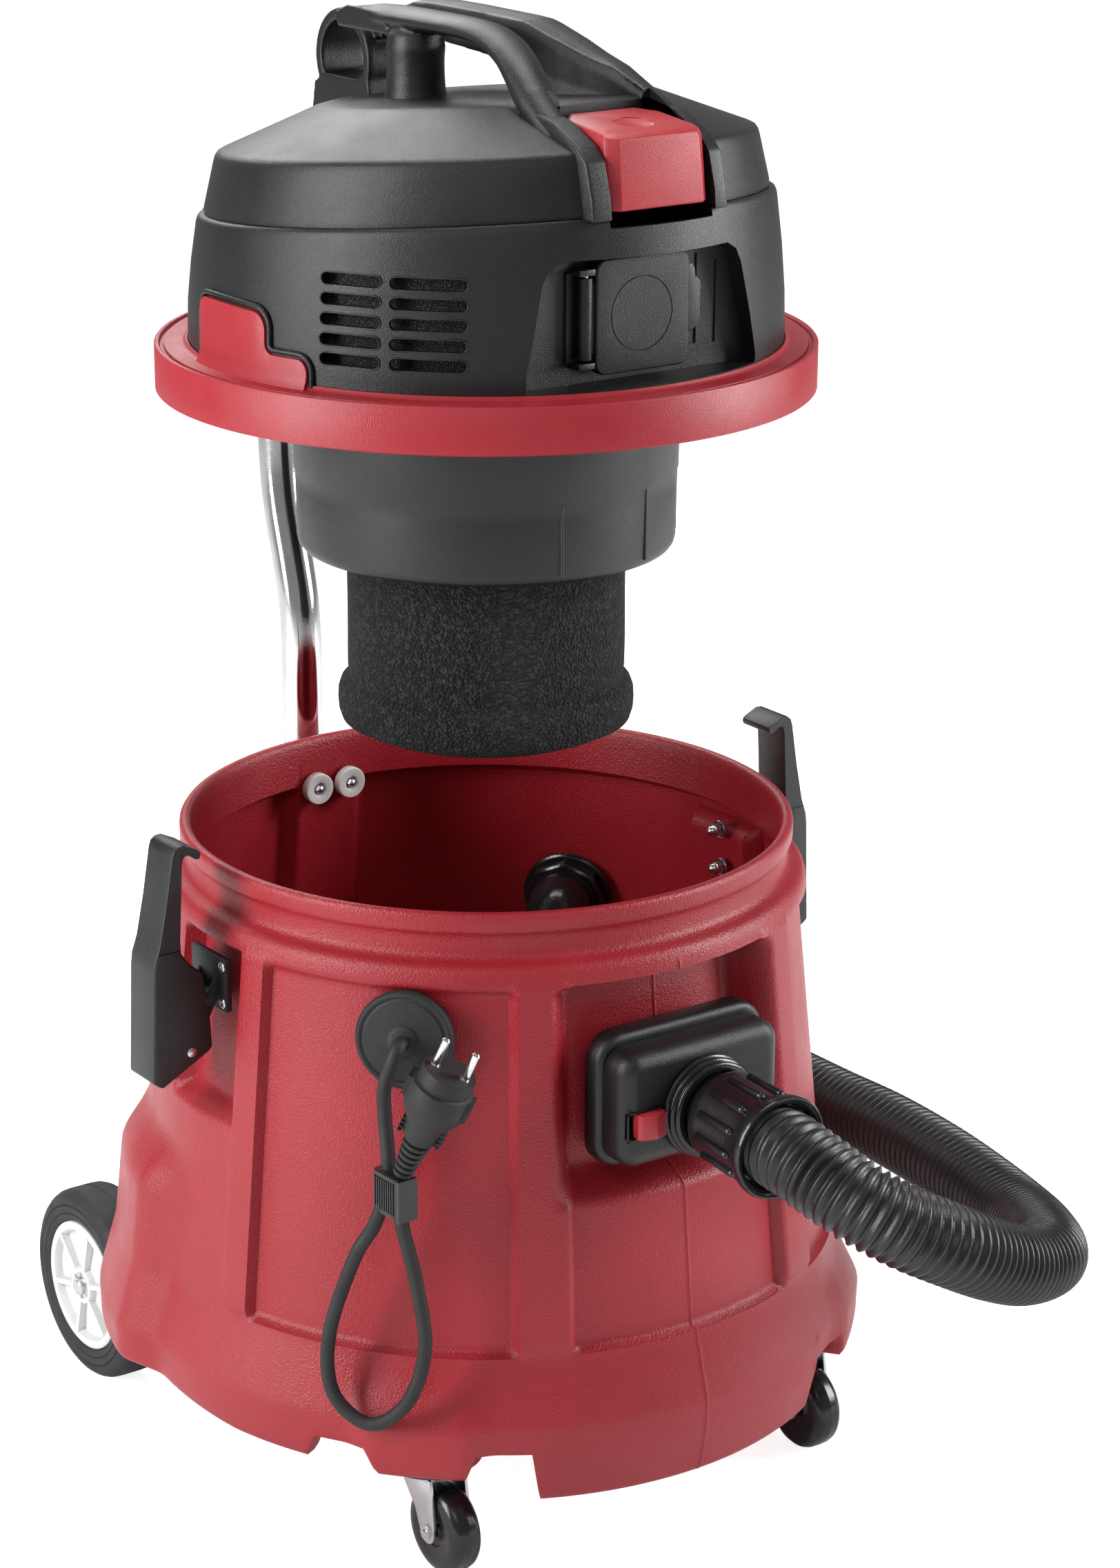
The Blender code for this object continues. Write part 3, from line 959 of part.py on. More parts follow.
def motor(head):
    """The pot, the motor in it, and the filter under it."""
    plate_z = RING_TOP_Z - 0.005
    pot_low = RING_BOTTOM_Z - POT_DEPTH
    wall = POT_WALL
    pot = [(POT_RADIUS, plate_z - GAP), (POT_RADIUS - 0.0005, pot_low + 0.040), (POT_RADIUS - 0.002, pot_low + 0.003),
           (POT_RADIUS - 0.005, pot_low), (CAGE_RADIUS - 0.012, pot_low), (CAGE_RADIUS - 0.012, pot_low + wall),
           (POT_RADIUS - 0.007, pot_low + wall), (POT_RADIUS - wall, pot_low + 0.040), (POT_RADIUS - wall, plate_z - GAP)]
    node("motor_pot", turned(list(reversed(pot)), 36), BLACK, head)
    fan_low = pot_low + wall + 0.002
    case = [(0.022, fan_low), (0.072, fan_low), (0.072, fan_low + 0.036), (0.016, fan_low + 0.036),
            (0.016, fan_low + 0.033), (0.069, fan_low + 0.033), (0.069, fan_low + 0.003), (0.022, fan_low + 0.003)]
    node("fan_case", turned(case, 24), COPPER, head)
    stator = [(0.034, fan_low + 0.037), (0.052, fan_low + 0.037), (0.052, fan_low + 0.090), (0.034, fan_low + 0.090)]
    node("motor_stator", turned(stator, 20), COPPER, head)
    spin = empty("rotor_axis", (0, 0, fan_low), head)
    rotor = [(0, 0.006), (0.062, 0.006), (0.062, 0.028), (0.010, 0.030), (0.010, 0.040), (0.031, 0.042),
             (0.031, 0.084), (0.006, 0.086), (0.006, 0.104), (0, 0.104)]
    node("motor_rotor", turned(rotor, 20), COPPER, spin)
    bearer = [(0.0066, fan_low + 0.092), (0.054, fan_low + 0.092), (0.054, fan_low + 0.099), (0.0066, fan_low + 0.099)]
    node("bearing_bracket", turned(bearer, 20), BLACK, head)
    cage_low = pot_low - CAGE_LENGTH
    bars = [(CAGE_RADIUS - 0.003, cage_low + 0.003), (CAGE_RADIUS - 0.003, pot_low - GAP), (CAGE_RADIUS, pot_low - GAP),
            (CAGE_RADIUS, cage_low), (0.0, cage_low), (0.0, cage_low + 0.003)]
    cage = node("filter_cage", turned(bars, 24), BLACK, head)
    openings = bmesh.new()
    mesh = bpy.data.meshes.new("openings")
    for i in range(4):
        turn = Matrix.Rotation(math.radians(45 + 90 * i), 4, "Z")
        piece = box((0.060, 0.046, CAGE_LENGTH - 0.040), (CAGE_RADIUS, 0, pot_low - CAGE_LENGTH / 2))
        place(piece, turn)
        piece.to_mesh(mesh)
        openings.from_mesh(mesh)
        piece.free()
    boolean(cage, node("cage_window_tool", openings, None, head))
    drop = empty("float_axis", (0, 0, cage_low + 0.003 + GAP + FLOAT_RADIUS), head)
    rows = [(0, -FLOAT_RADIUS)]
    rows += [(FLOAT_RADIUS * math.cos(math.radians(t)), FLOAT_RADIUS * math.sin(math.radians(t)))
             for t in range(-72, 73, 18)]
    rows.append((0, FLOAT_RADIUS))
    node("float_ball", turned(rows, 20), WHITE, drop)
    foam_top = pot_low - GAP
    foam_low = foam_top - FOAM_LENGTH
    inner = FOAM_RADIUS - FOAM_THICKNESS
    foam = [(0, foam_low), (FOAM_RADIUS - 0.012, foam_low), (FOAM_RADIUS + FOAM_ROLL - 0.002, foam_low + 0.008),
            (FOAM_RADIUS + FOAM_ROLL, foam_low + 0.019), (FOAM_RADIUS + FOAM_ROLL - 0.002, foam_low + 0.029),
            (FOAM_RADIUS, foam_low + 0.033), (FOAM_RADIUS, foam_top), (inner, foam_top),
            (inner, foam_low + FOAM_THICKNESS), (0, foam_low + FOAM_THICKNESS)]
    node("foam_filter", turned(foam, 28), FOAM, head)
    gland_at = on_wall(138.0, 0.162)
    gland = rod(gland_at + Vector((0, 0, plate_z - GAP)), gland_at + Vector((0, 0, RING_BOTTOM_Z - 0.012)), 0.014, 16)
    node("mains_gland", gland, RUBBER, head)


# ---------------------------------------------------------------- cable, plug and hose

def clear_of_base(p):
    """Keep a point of the hanging loop in front of the tank's flared base, however wide that is."""
    room = body_radius(p.z) + CABLE_DIAMETER / 2 + 0.0074
    out = math.hypot(p.x, p.y)
    if p.z > TANK_WAIST_Z + 0.06 or out > room:
        return p
    return Vector((p.x * room / out, p.y * room / out, p.z))


def pump_cable(machine):
    points = [clear_of_base(Vector(p)) for p in CABLE_ROUTE]
    cord("pump_cable", points, CABLE_DIAMETER, 0.0135, RUBBER, machine, 2)
    relief_at, plug_at = points[-1], Vector(PLUG_FACE)
    along = (plug_at - relief_at).normalized()
    turn = Matrix.Translation(relief_at + along * 0.0016) @ along.to_track_quat("Z", "Y").to_matrix().to_4x4()
    body = [(0, 0), (0.0058, 0), (0.0085, 0.026), (0.0120, 0.031), (0.0135, 0.040), (0.0185, 0.056), (0.0190, 0.066),
            (0.0165, 0.068), (0.0165, 0.076), (0, 0.076)]
    plug = node("pump_plug", place(turned(body, 24), turn), RUBBER, machine)
    for k, x in ((1, -0.0095), (2, 0.0095)):
        pin = rod(turn @ Vector((x, 0, 0.075)), turn @ Vector((x, 0, 0.095)), 0.0024, 10)
        boolean(plug, node(f"plug_pin_tool_{k}", pin, None, machine), "UNION")


def drain_hose(machine, collar):
    """The drain hose: cuff in the holder's collar, hose round the right side, elbow on the outlet."""
    dip = math.radians(HOSE_CUFF_DIP)
    start = collar + Vector((0, -GAP - HOSE_CUFF_RADIUS * math.sin(dip), 0))
    turn = Matrix.Translation(start) @ facing(0.0, -HOSE_CUFF_DIP)
    length, lip, socket = HOSE_CUFF_LENGTH, HOSE_CUFF_RADIUS, HOSE_DIAMETER / 2 + 0.0018
    body = [(0, -0.008), (0.0225, -0.008), (0.0225, 0), (lip - 0.0035, 0), (lip - 0.0030, length - 0.007),
            (lip, length - 0.005), (lip, length), (socket, length), (socket, length - 0.012), (0, length - 0.012)]
    node("hose_cuff", place(turned(body, 24), turn), BLACK, machine)
    along = (turn.to_3x3() @ Vector((0, 0, 1))).normalized()
    out = on_wall(PORT_ANGLE, 1.0)
    at = body_radius(PORT_Z) + 0.0070
    bend = [out * at + Vector((0, 0, PORT_Z)), out * (at + 0.016) + Vector((0, 0, PORT_Z)),
            out * (at + 0.034) + Vector((0, 0, PORT_Z - 0.003)), out * (at + 0.047) + Vector((0, 0, PORT_Z - 0.013)),
            out * (at + 0.0530) + Vector((0, 0, PORT_Z - 0.027)), out * (at + 0.0530) + Vector((0, 0, PORT_Z - 0.041))]
    node("hose_elbow", swept(bend, (ELBOW_RADIUS, ELBOW_RADIUS), 16), BLACK, machine)
    end = bend[-1] + Vector((0, 0, -2 * GAP))
    points = [start + along * (length - 0.0085), start + along * (length + 0.010)] + [Vector(p) for p in HOSE_ROUTE]
    points += [end + Vector((0, 0, -0.025)), end + Vector((0, 0, -0.012)), end]
    cord("drain_hose", points, HOSE_DIAMETER, 0.022, BLACK, machine, 3)


def main():
    clear_scene()
    machine = empty("machine", (0, AXIS_Y, 0))
    head = empty("head", (0, 0, 0), machine)
    tank_shell(machine)
    grommet(machine)
    collar = inlet(machine)
    latch(machine, -1, "left")
    latch(machine, 1, "right")
    push_handle(machine)
    rear_wheels(machine)
    castors(machine)
    sump_pump(machine)
    head_base(head)
    lower_shell(head)
    top = upper_shell(head)
    carry_handle(head, top)
    socket(head)
    motor(head)
    pump_cable(machine)
    drain_hose(machine, collar)


main()
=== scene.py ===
import math
import random

import bmesh
import bpy
from mathutils import Matrix, Vector


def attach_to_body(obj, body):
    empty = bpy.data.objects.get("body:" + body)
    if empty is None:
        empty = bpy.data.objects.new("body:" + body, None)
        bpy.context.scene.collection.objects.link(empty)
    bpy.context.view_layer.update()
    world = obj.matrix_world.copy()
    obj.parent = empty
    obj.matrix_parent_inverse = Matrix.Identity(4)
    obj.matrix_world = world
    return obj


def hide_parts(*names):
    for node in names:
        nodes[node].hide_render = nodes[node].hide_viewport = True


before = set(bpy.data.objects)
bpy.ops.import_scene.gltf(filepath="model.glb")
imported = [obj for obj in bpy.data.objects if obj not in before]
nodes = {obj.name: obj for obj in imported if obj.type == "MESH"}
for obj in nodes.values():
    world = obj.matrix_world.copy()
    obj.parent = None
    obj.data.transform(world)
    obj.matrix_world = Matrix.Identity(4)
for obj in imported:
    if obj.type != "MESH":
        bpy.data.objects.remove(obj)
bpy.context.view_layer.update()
scene = bpy.context.scene
axisY = -0.0135  # the machine's own axis, a little in front of the frame's origin
print("frame loaded:", len(nodes), "nodes")


# where the camera stands, in degrees round and above the machine
view = {"azimuth": -34.5, "elevation": 19.113, "distance": 2.35, "lens": 85.84, "shift": (0.0471, 0.0320)}


def makeCamera():
    a, e = math.radians(view["azimuth"]), math.radians(view["elevation"])
    out = Vector((math.sin(a) * math.cos(e), -math.cos(a) * math.cos(e), math.sin(e)))
    cam = bpy.data.cameras.new("camera")
    cam.sensor_fit = "VERTICAL"
    cam.sensor_height = 36.0
    cam.lens = view["lens"]
    cam.shift_x, cam.shift_y = view["shift"]
    obj = bpy.data.objects.new("camera", cam)
    scene.collection.objects.link(obj)
    obj.location = Vector((0, axisY, 0.40)) + out * view["distance"]
    obj.rotation_euler = (-out).to_track_quat("-Z", "Y").to_euler()
    scene.camera = obj


makeCamera()


# a wrapped socket that can be used in sums
class Wire:
    def __init__(self, tree, out):
        self.tree, self.out = tree, out

    def sum(self, operation, first, second):
        n = self.tree.nodes.new("ShaderNodeMath")
        n.operation = operation
        for place, value in ((0, first), (1, second)):
            if isinstance(value, Wire):
                self.tree.links.new(value.out, n.inputs[place])
            else:
                n.inputs[place].default_value = value
        return Wire(self.tree, n.outputs[0])

    def __add__(self, other):
        return self.sum("ADD", self, other)

    def __radd__(self, other):
        return self.sum("ADD", other, self)

    def __sub__(self, other):
        return self.sum("SUBTRACT", self, other)

    def __rsub__(self, other):
        return self.sum("SUBTRACT", other, self)

    def __mul__(self, other):
        return self.sum("MULTIPLY", self, other)

    def __rmul__(self, other):
        return self.sum("MULTIPLY", other, self)


class Nodes:
    def __init__(self, tree):
        self.tree = tree

    def node(self, kind, settings, sockets, output=0):
        n = self.tree.nodes.new(kind)
        for key, value in settings.items():
            if key == "stops":
                while len(n.color_ramp.elements) < len(value):
                    n.color_ramp.elements.new(0.5)
                for element, (at, shade) in zip(n.color_ramp.elements, value):
                    element.position = at
                    element.color = (*shade, 1) if isinstance(shade, tuple) else (shade, shade, shade, 1)
            else:
                setattr(n, key, value)
        for key, value in sockets.items():
            if isinstance(value, Wire):
                self.tree.links.new(value.out, n.inputs[key])
            else:
                n.inputs[key].default_value = value
        return Wire(self.tree, n.outputs[output])


class Finish(Nodes):
    def __init__(self, name, **constants):
        self.mat = bpy.data.materials.new(name)
        self.mat.use_nodes = True
        super().__init__(self.mat.node_tree)
        self.shader = self.tree.nodes["Principled BSDF"]
        for key, value in constants.items():
            self.shader.inputs[key.replace("_", " ")].default_value = value
        self.place = self.node("ShaderNodeTexCoord", {}, {}, "Object")

    def noise(self, scale, detail=2.0, rough=0.5, stretch=None):
        at = self.place
        if stretch:
            at = self.node("ShaderNodeMapping", {}, {"Vector": at, "Scale": stretch})
        return self.node("ShaderNodeTexNoise", {}, {"Vector": at, "Scale": scale, "Detail": detail, "Roughness": rough})

    def ramp(self, value, stops):
        return self.node("ShaderNodeValToRGB", {"stops": stops}, {0: value})

    def colour(self, share, dark, light):
        mixed = self.node("ShaderNodeMix", {"data_type": "RGBA"}, {0: share, 6: (*dark, 1), 7: (*light, 1)}, 2)
        self.feed("Base Color", mixed)
        return mixed

    def feed(self, socket, value):
        self.tree.links.new(value.out, self.shader.inputs[socket])

    def bump(self, height, strength, distance):
        bumped = self.node("ShaderNodeBump", {}, {"Height": height, "Strength": strength, "Distance": distance})
        self.feed("Normal", bumped)


# moulded plastics: grain of the mould, faint flow marks and a little unevenness in the gloss
mouldings = {
    "redTank": {"dark": (0.300, 0.0105, 0.018), "light": (0.350, 0.0135, 0.023), "rough": (0.33, 0.43), "grain": 700,
                "relief": 0.00016, "flow": 9},
    "redHousing": {"dark": (0.345, 0.0165, 0.026), "light": (0.385, 0.0195, 0.031), "rough": (0.32, 0.42),
                   "grain": 1300,
                   "relief": 0.00006, "flow": 12},
    "redKnob": {"dark": (0.40, 0.024, 0.032), "light": (0.44, 0.028, 0.037), "rough": (0.30, 0.40), "grain": 1500,
                "relief": 0.00005, "flow": 20},
    "blackHousing": {"dark": (0.0070, 0.0073, 0.0084), "light": (0.0105, 0.0110, 0.0125), "rough": (0.30, 0.40),
                     "grain": 1500,
                     "relief": 0.00007, "flow": 10},
    "blackBracket": {"dark": (0.008, 0.0083, 0.009), "light": (0.012, 0.0125, 0.0135), "rough": (0.44, 0.56),
                     "grain": 1600,
                     "relief": 0.00007, "flow": 22},
    "blackGloss": {"dark": (0.008, 0.008, 0.009), "light": (0.013, 0.013, 0.015), "rough": (0.16, 0.26), "grain": 500,
                   "relief": 0.00003, "flow": 30},
    "blackHose": {"dark": (0.009, 0.009, 0.010), "light": (0.016, 0.016, 0.018), "rough": (0.30, 0.40), "grain": 900,
                  "relief": 0.00004, "flow": 30},
    "blackRubber": {"dark": (0.011, 0.011, 0.012), "light": (0.017, 0.017, 0.018), "rough": (0.55, 0.70), "grain": 1200,
                    "relief": 0.00006, "flow": 26},
    "whiteHub": {"dark": (0.66, 0.66, 0.65), "light": (0.73, 0.73, 0.72), "rough": (0.34, 0.46), "grain": 900,
                 "relief": 0.00005, "flow": 18},
}
finishes = {}


def makeMoulding(name, look):
    f = Finish(name)
    flow = f.noise(look["flow"], 4.0, 0.55)
    grain = f.noise(look["grain"], 2.0, 0.6)
    f.colour(f.ramp(flow * 0.75 + grain * 0.25, ((0.35, 0.0), (0.68, 1.0))), look["dark"], look["light"])
    low, high = look["rough"]
    f.feed("Roughness", f.ramp(f.noise(look["flow"] * 3.1, 3.0), ((0.3, low), (0.7, high))))
    f.bump(grain, 0.6, look["relief"] * 6)
    finishes[name] = f.mat


for name, look in mouldings.items():
    makeMoulding(name, look)


def makeMetals():
    for name, tone, low, high in (("brightChrome", (0.83, 0.83, 0.85), 0.05, 0.12),
                                  ("zincPlate", (0.66, 0.67, 0.69), 0.22, 0.40),
                                  ("plugPin", (0.80, 0.80, 0.80), 0.12, 0.22),
                                  ("castMetal", (0.42, 0.40, 0.37), 0.35, 0.5)):
        f = Finish(name, Metallic=1.0)
        cloud = f.noise(60, 3.0)
        f.colour(f.ramp(cloud, ((0.35, 0.0), (0.7, 1.0))), tuple(c * 0.88 for c in tone), tone)
        scratch = f.noise(240, 3.0, 0.6, (1, 1, 14))
        f.feed("Roughness", f.ramp(scratch, ((0.3, low), (0.7, high))))
        f.bump(scratch, 0.25, 0.0001)
        finishes[name] = f.mat


def makeFoam():
    f = Finish("openFoam", Roughness=0.95)
    cell = f.node("ShaderNodeTexVoronoi", {}, {"Vector": f.place, "Scale": 520})
    big = f.node("ShaderNodeTexVoronoi", {}, {"Vector": f.place, "Scale": 210})
    # painted shade: the foam's open cells are painted near black, standing in for the shade inside its holes
    pitShade = f.ramp(cell * 0.6 + big * 0.4, ((0.12, 0.0), (0.55, 1.0)))
    f.colour(pitShade, (0.050, 0.050, 0.053), (0.003, 0.003, 0.0035))
    f.bump(cell, 1.0, 0.0026)
    finishes["openFoam"] = f.mat
    f = Finish("grilleFoam", Roughness=0.8)
    speck = f.node("ShaderNodeTexVoronoi", {}, {"Vector": f.place, "Scale": 900})
    f.colour(f.ramp(speck, ((0.16, 1.0), (0.26, 0.0))), (0.004, 0.004, 0.004), (0.20, 0.20, 0.20))
    f.bump(speck, 0.7, 0.0008)
    finishes["grilleFoam"] = f.mat


makeMetals()
makeFoam()
print("finishes made:", len(finishes))


# points and faces, gathered stretch by stretch and made into one piece
class Shape:
    def __init__(self):
        self.verts, self.faces = [], []

    def add(self, verts, faces, matrix=None):
        start = len(self.verts)
        if matrix is not None:
            verts = [tuple(matrix @ Vector(v)) for v in verts]
        self.verts.extend(tuple(v) for v in verts)
        self.faces.extend(tuple(i + start for i in face) for face in faces)
        return self

    # a grid of rows of points, closed round each row if wrapped
    def grid(self, rows, wrap=True, matrix=None, capStart=False, capEnd=False):
        width = len(rows[0])
        verts = [p for row in rows for p in row]
        faces = []
        for r in range(len(rows) - 1):
            for c in range(width if wrap else width - 1):
                d = (c + 1) % width
                faces.append((r * width + c, r * width + d, (r + 1) * width + d, (r + 1) * width + c))
        if capStart:
            faces.append(tuple(reversed(range(width))))
        if capEnd:
            faces.append(tuple(range((len(rows) - 1) * width, len(rows) * width)))
        return self.add(verts, faces, matrix)

    # (radius, z) outline turned round z; a closed outline makes a ring
    def turn(self, outline, segments=64, closed=False, arc=360.0, start=0.0, matrix=None):
        full = arc >= 360
        count = segments if full else segments + 1
        profile = list(outline) + ([outline[0]] if closed else [])
        rows = []
        for r, z in profile:
            rows.append([(r * math.cos(math.radians(start + arc * i / segments)),
                          r * math.sin(math.radians(start + arc * i / segments)), z) for i in range(count)])
        self.grid(rows, full, matrix)
        if not full and closed:
            ends = [[row[0] for row in rows[:-1]], [row[-1] for row in rows[:-1]]]
            self.add(ends[0], [tuple(range(len(ends[0])))], matrix)
            self.add(ends[1], [tuple(reversed(range(len(ends[1]))))], matrix)
        return self

    def prism(self, outline, depth, matrix=None):
        n = len(outline)
        verts = [(x, y, 0) for x, y in outline] + [(x, y, depth) for x, y in outline]
        faces = [tuple(reversed(range(n))), tuple(range(n, 2 * n))]
        faces += [(i, (i + 1) % n, n + (i + 1) % n, n + i) for i in range(n)]
        return self.add(verts, faces, matrix)

    def block(self, size, centre, matrix=None):
        x, y, z = (s / 2 for s in size)
        move = (matrix or Matrix.Identity(4)) @ Matrix.Translation(centre) @ Matrix.Translation((0, 0, -z))
        return self.prism([(-x, -y), (x, -y), (x, y), (-x, y)], 2 * z, move)

    def rod(self, start, end, radius, segments=24, tip=None):
        start, end = Vector(start), Vector(end)
        length = (end - start).length
        turn = Matrix.Translation(start) @ (end - start).to_track_quat("Z", "Y").to_matrix().to_4x4()
        soft = min(radius * 0.15, 0.0006) if tip is None else tip
        self.turn([(1e-5, 0), (radius - soft, 0), (radius, soft), (radius, length - soft), (radius - soft, length),
                   (1e-5, length)],
                  segments, matrix=turn)
        return self

    # a tube along a path; radius is a number, a pair, or a function of the point's place in the path
    def sweep(self, path, radius, segments=24, squash=1.0, side=(1, 0, 0), caps=True):
        path = [Vector(p) for p in path]
        rows = []
        across = Vector(side)
        for k, p in enumerate(path):
            ahead = (path[min(k + 1, len(path) - 1)] - path[max(k - 1, 0)]).normalized()
            across = (across - ahead * across.dot(ahead)).normalized()
            up = ahead.cross(across)
            r = radius(k) if callable(radius) else radius
            a, b = r if isinstance(r, tuple) else (r, r * squash)
            rows.append([tuple(p + across * (a * math.cos(2 * math.pi * i / segments))
                               + up * (b * math.sin(2 * math.pi * i / segments))) for i in range(segments)])
        return self.grid(rows, True, None, caps, caps)

    def make(self, name, finish, body=None, stands=(), sharp=38, bevel=None, weld=True):
        mesh = bpy.data.meshes.new(name)
        mesh.from_pydata([(x, y + axisY, z) for x, y, z in self.verts], [], self.faces)
        bm = bmesh.new()
        bm.from_mesh(mesh)
        if weld:
            bmesh.ops.remove_doubles(bm, verts=bm.verts, dist=2e-5)
            bmesh.ops.dissolve_degenerate(bm, edges=bm.edges, dist=1e-6)
        bmesh.ops.recalc_face_normals(bm, faces=bm.faces)
        bm.to_mesh(mesh)
        bm.free()
        obj = bpy.data.objects.new(name, mesh)
        scene.collection.objects.link(obj)
        mesh.materials.append(finishes[finish])
        if bevel:
            soften(obj, *bevel)
        shade(obj, sharp)
        if body:
            attach(obj, body, stands)
        return obj


# turn an object's modifiers into plain mesh
def settle(obj):
    bpy.context.view_layer.update()
    done = bpy.data.meshes.new_from_object(obj.evaluated_get(bpy.context.evaluated_depsgraph_get()))
    obj.modifiers.clear()
    obj.data = done


def soften(obj, width, segments, angle=30):
    mod = obj.modifiers.new("soft", "BEVEL")
    mod.width, mod.segments, mod.limit_method, mod.angle_limit = width, segments, "ANGLE", math.radians(angle)
    settle(obj)


def shade(obj, sharp):
    obj.data.shade_smooth()
    obj.data.set_sharp_from_angle(angle=math.radians(sharp))


def cut(obj, tool, operation="DIFFERENCE"):
    mod = obj.modifiers.new("cut", "BOOLEAN")
    mod.operation, mod.solver, mod.object = operation, "EXACT", tool
    settle(obj)
    bpy.data.objects.remove(tool)


def attach(obj, body, stands=()):
    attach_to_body(obj, body)
    if stands:
        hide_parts(*([stands] if isinstance(stands, str) else stands))


def arc(cx, cy, radius, start, end, steps):
    return [(cx + radius * math.cos(math.radians(start + (end - start) * i / steps)),
             cy + radius * math.sin(math.radians(start + (end - start) * i / steps))) for i in range(steps + 1)]


def roundedBox(width, height, radius, steps=6):
    w, h = width / 2 - radius, height / 2 - radius
    return (arc(w, h, radius, 0, 90, steps) + arc(-w, h, radius, 90, 180, steps)
            + arc(-w, -h, radius, 180, 270, steps) + arc(w, -h, radius, 270, 360, steps))


def wall(angle, radius, z=0.0):
    a = math.radians(angle)
    return Vector((radius * math.sin(a), -radius * math.cos(a), z))


# local +Z looks outwards at this angle round the machine, local +Y up
def facing(angle, tilt=0.0):
    a, t = math.radians(angle), math.radians(tilt)
    out = Vector((math.sin(a) * math.cos(t), -math.cos(a) * math.cos(t), math.sin(t)))
    side = Vector((0, 0, 1)).cross(out).normalized()
    return Matrix((side, out.cross(side), out)).transposed().to_4x4()


sideways = Matrix(((0, 0, 1, 0), (1, 0, 0, 0), (0, 1, 0, 0), (0, 0, 0, 1)))  # (y, z) outline, depth along x
upright = Matrix.Rotation(math.radians(90), 4, "X")  # (x, z) outline, depth towards -y


def smooth(low, high, x):
    t = min(1.0, max(0.0, (x - low) / (high - low)))
    return t * t * (3 - 2 * t)


def between(x, stations):
    for (a, u), (b, v) in zip(stations, stations[1:]):
        if x <= b:
            return u + (v - u) * max(0.0, (x - a) / (b - a))
    return stations[-1][1]


def curveThrough(points, spacing):
    p = [Vector(q) for q in points]
    p = [p[0] * 2 - p[1]] + p + [p[-1] * 2 - p[-2]]
    dense = []
    for i in range(1, len(p) - 2):
        for s in range(60):
            t = s / 60
            dense.append(0.5 * ((2 * p[i]) + (p[i + 1] - p[i - 1]) * t
                                + (2 * p[i - 1] - 5 * p[i] + 4 * p[i + 1] - p[i + 2]) * t * t
                                + (3 * p[i] - p[i - 1] - 3 * p[i + 1] + p[i + 2]) * t ** 3))
    dense.append(p[-2])
    run = [0.0]
    for a, b in zip(dense, dense[1:]):
        run.append(run[-1] + (b - a).length)
    count = max(2, round(run[-1] / spacing))
    even, k = [], 0
    for i in range(count + 1):
        want = run[-1] * i / count
        while k < len(run) - 2 and run[k + 1] < want:
            k += 1
        even.append(dense[k].lerp(dense[k + 1], min((want - run[k]) / max(run[k + 1] - run[k], 1e-12), 1.0)))
    return even, run[-1]


# drain hose and pump cable
hose = {"diameter": 0.049, "pitch": 0.0064, "groove": 0.0030, "cuffAt": (0.001, -0.2424, 0.296), "dip": 2.7,
        "cuffLength": 0.055}
hoseRoute = ((0.0045, -0.3250, 0.2880), (0.0150, -0.3520, 0.2760), (0.0350, -0.3690, 0.2620), (0.0650, -0.3765, 0.2450),
             (0.1000, -0.3710, 0.2250), (0.1370, -0.3595, 0.2070), (0.1750, -0.3400, 0.1950), (0.2080, -0.2980, 0.1820),
             (0.2340, -0.2510, 0.1710), (0.2500, -0.1960, 0.1675), (0.2600, -0.1450, 0.1660), (0.2670, -0.0850, 0.1640),
             (0.2710, -0.0250, 0.1600), (0.2730, 0.0400, 0.1580), (0.2620, 0.0950, 0.1640), (0.2440, 0.1340, 0.1740),
             (0.2270, 0.1540, 0.1880), (0.2150, 0.1660, 0.2060))
outlet = {"angle": 129, "radius": 0.20934, "z": 0.290}  # on the back right of the tank's wall
cable = {"diameter": 0.0085, "plugAt": (-0.1590, -0.1960, 0.3450)}
cableRoute = ((-0.1600, -0.1456, 0.3447), (-0.1672, -0.1518, 0.3436), (-0.1730, -0.1480, 0.3220),
              (-0.1730, -0.1475, 0.3040),
              (-0.1760, -0.1555, 0.2680), (-0.1830, -0.1520, 0.2390), (-0.1930, -0.1440, 0.2150),
              (-0.2040, -0.1330, 0.1650),
              (-0.2045, -0.1370, 0.1280), (-0.1920, -0.1570, 0.1120), (-0.1770, -0.1750, 0.1290),
              (-0.1680, -0.1810, 0.1640),
              (-0.1700, -0.1760, 0.2040), (-0.1755, -0.1690, 0.2420), (-0.1765, -0.1680, 0.2600),
              (-0.1760, -0.1690, 0.2730))


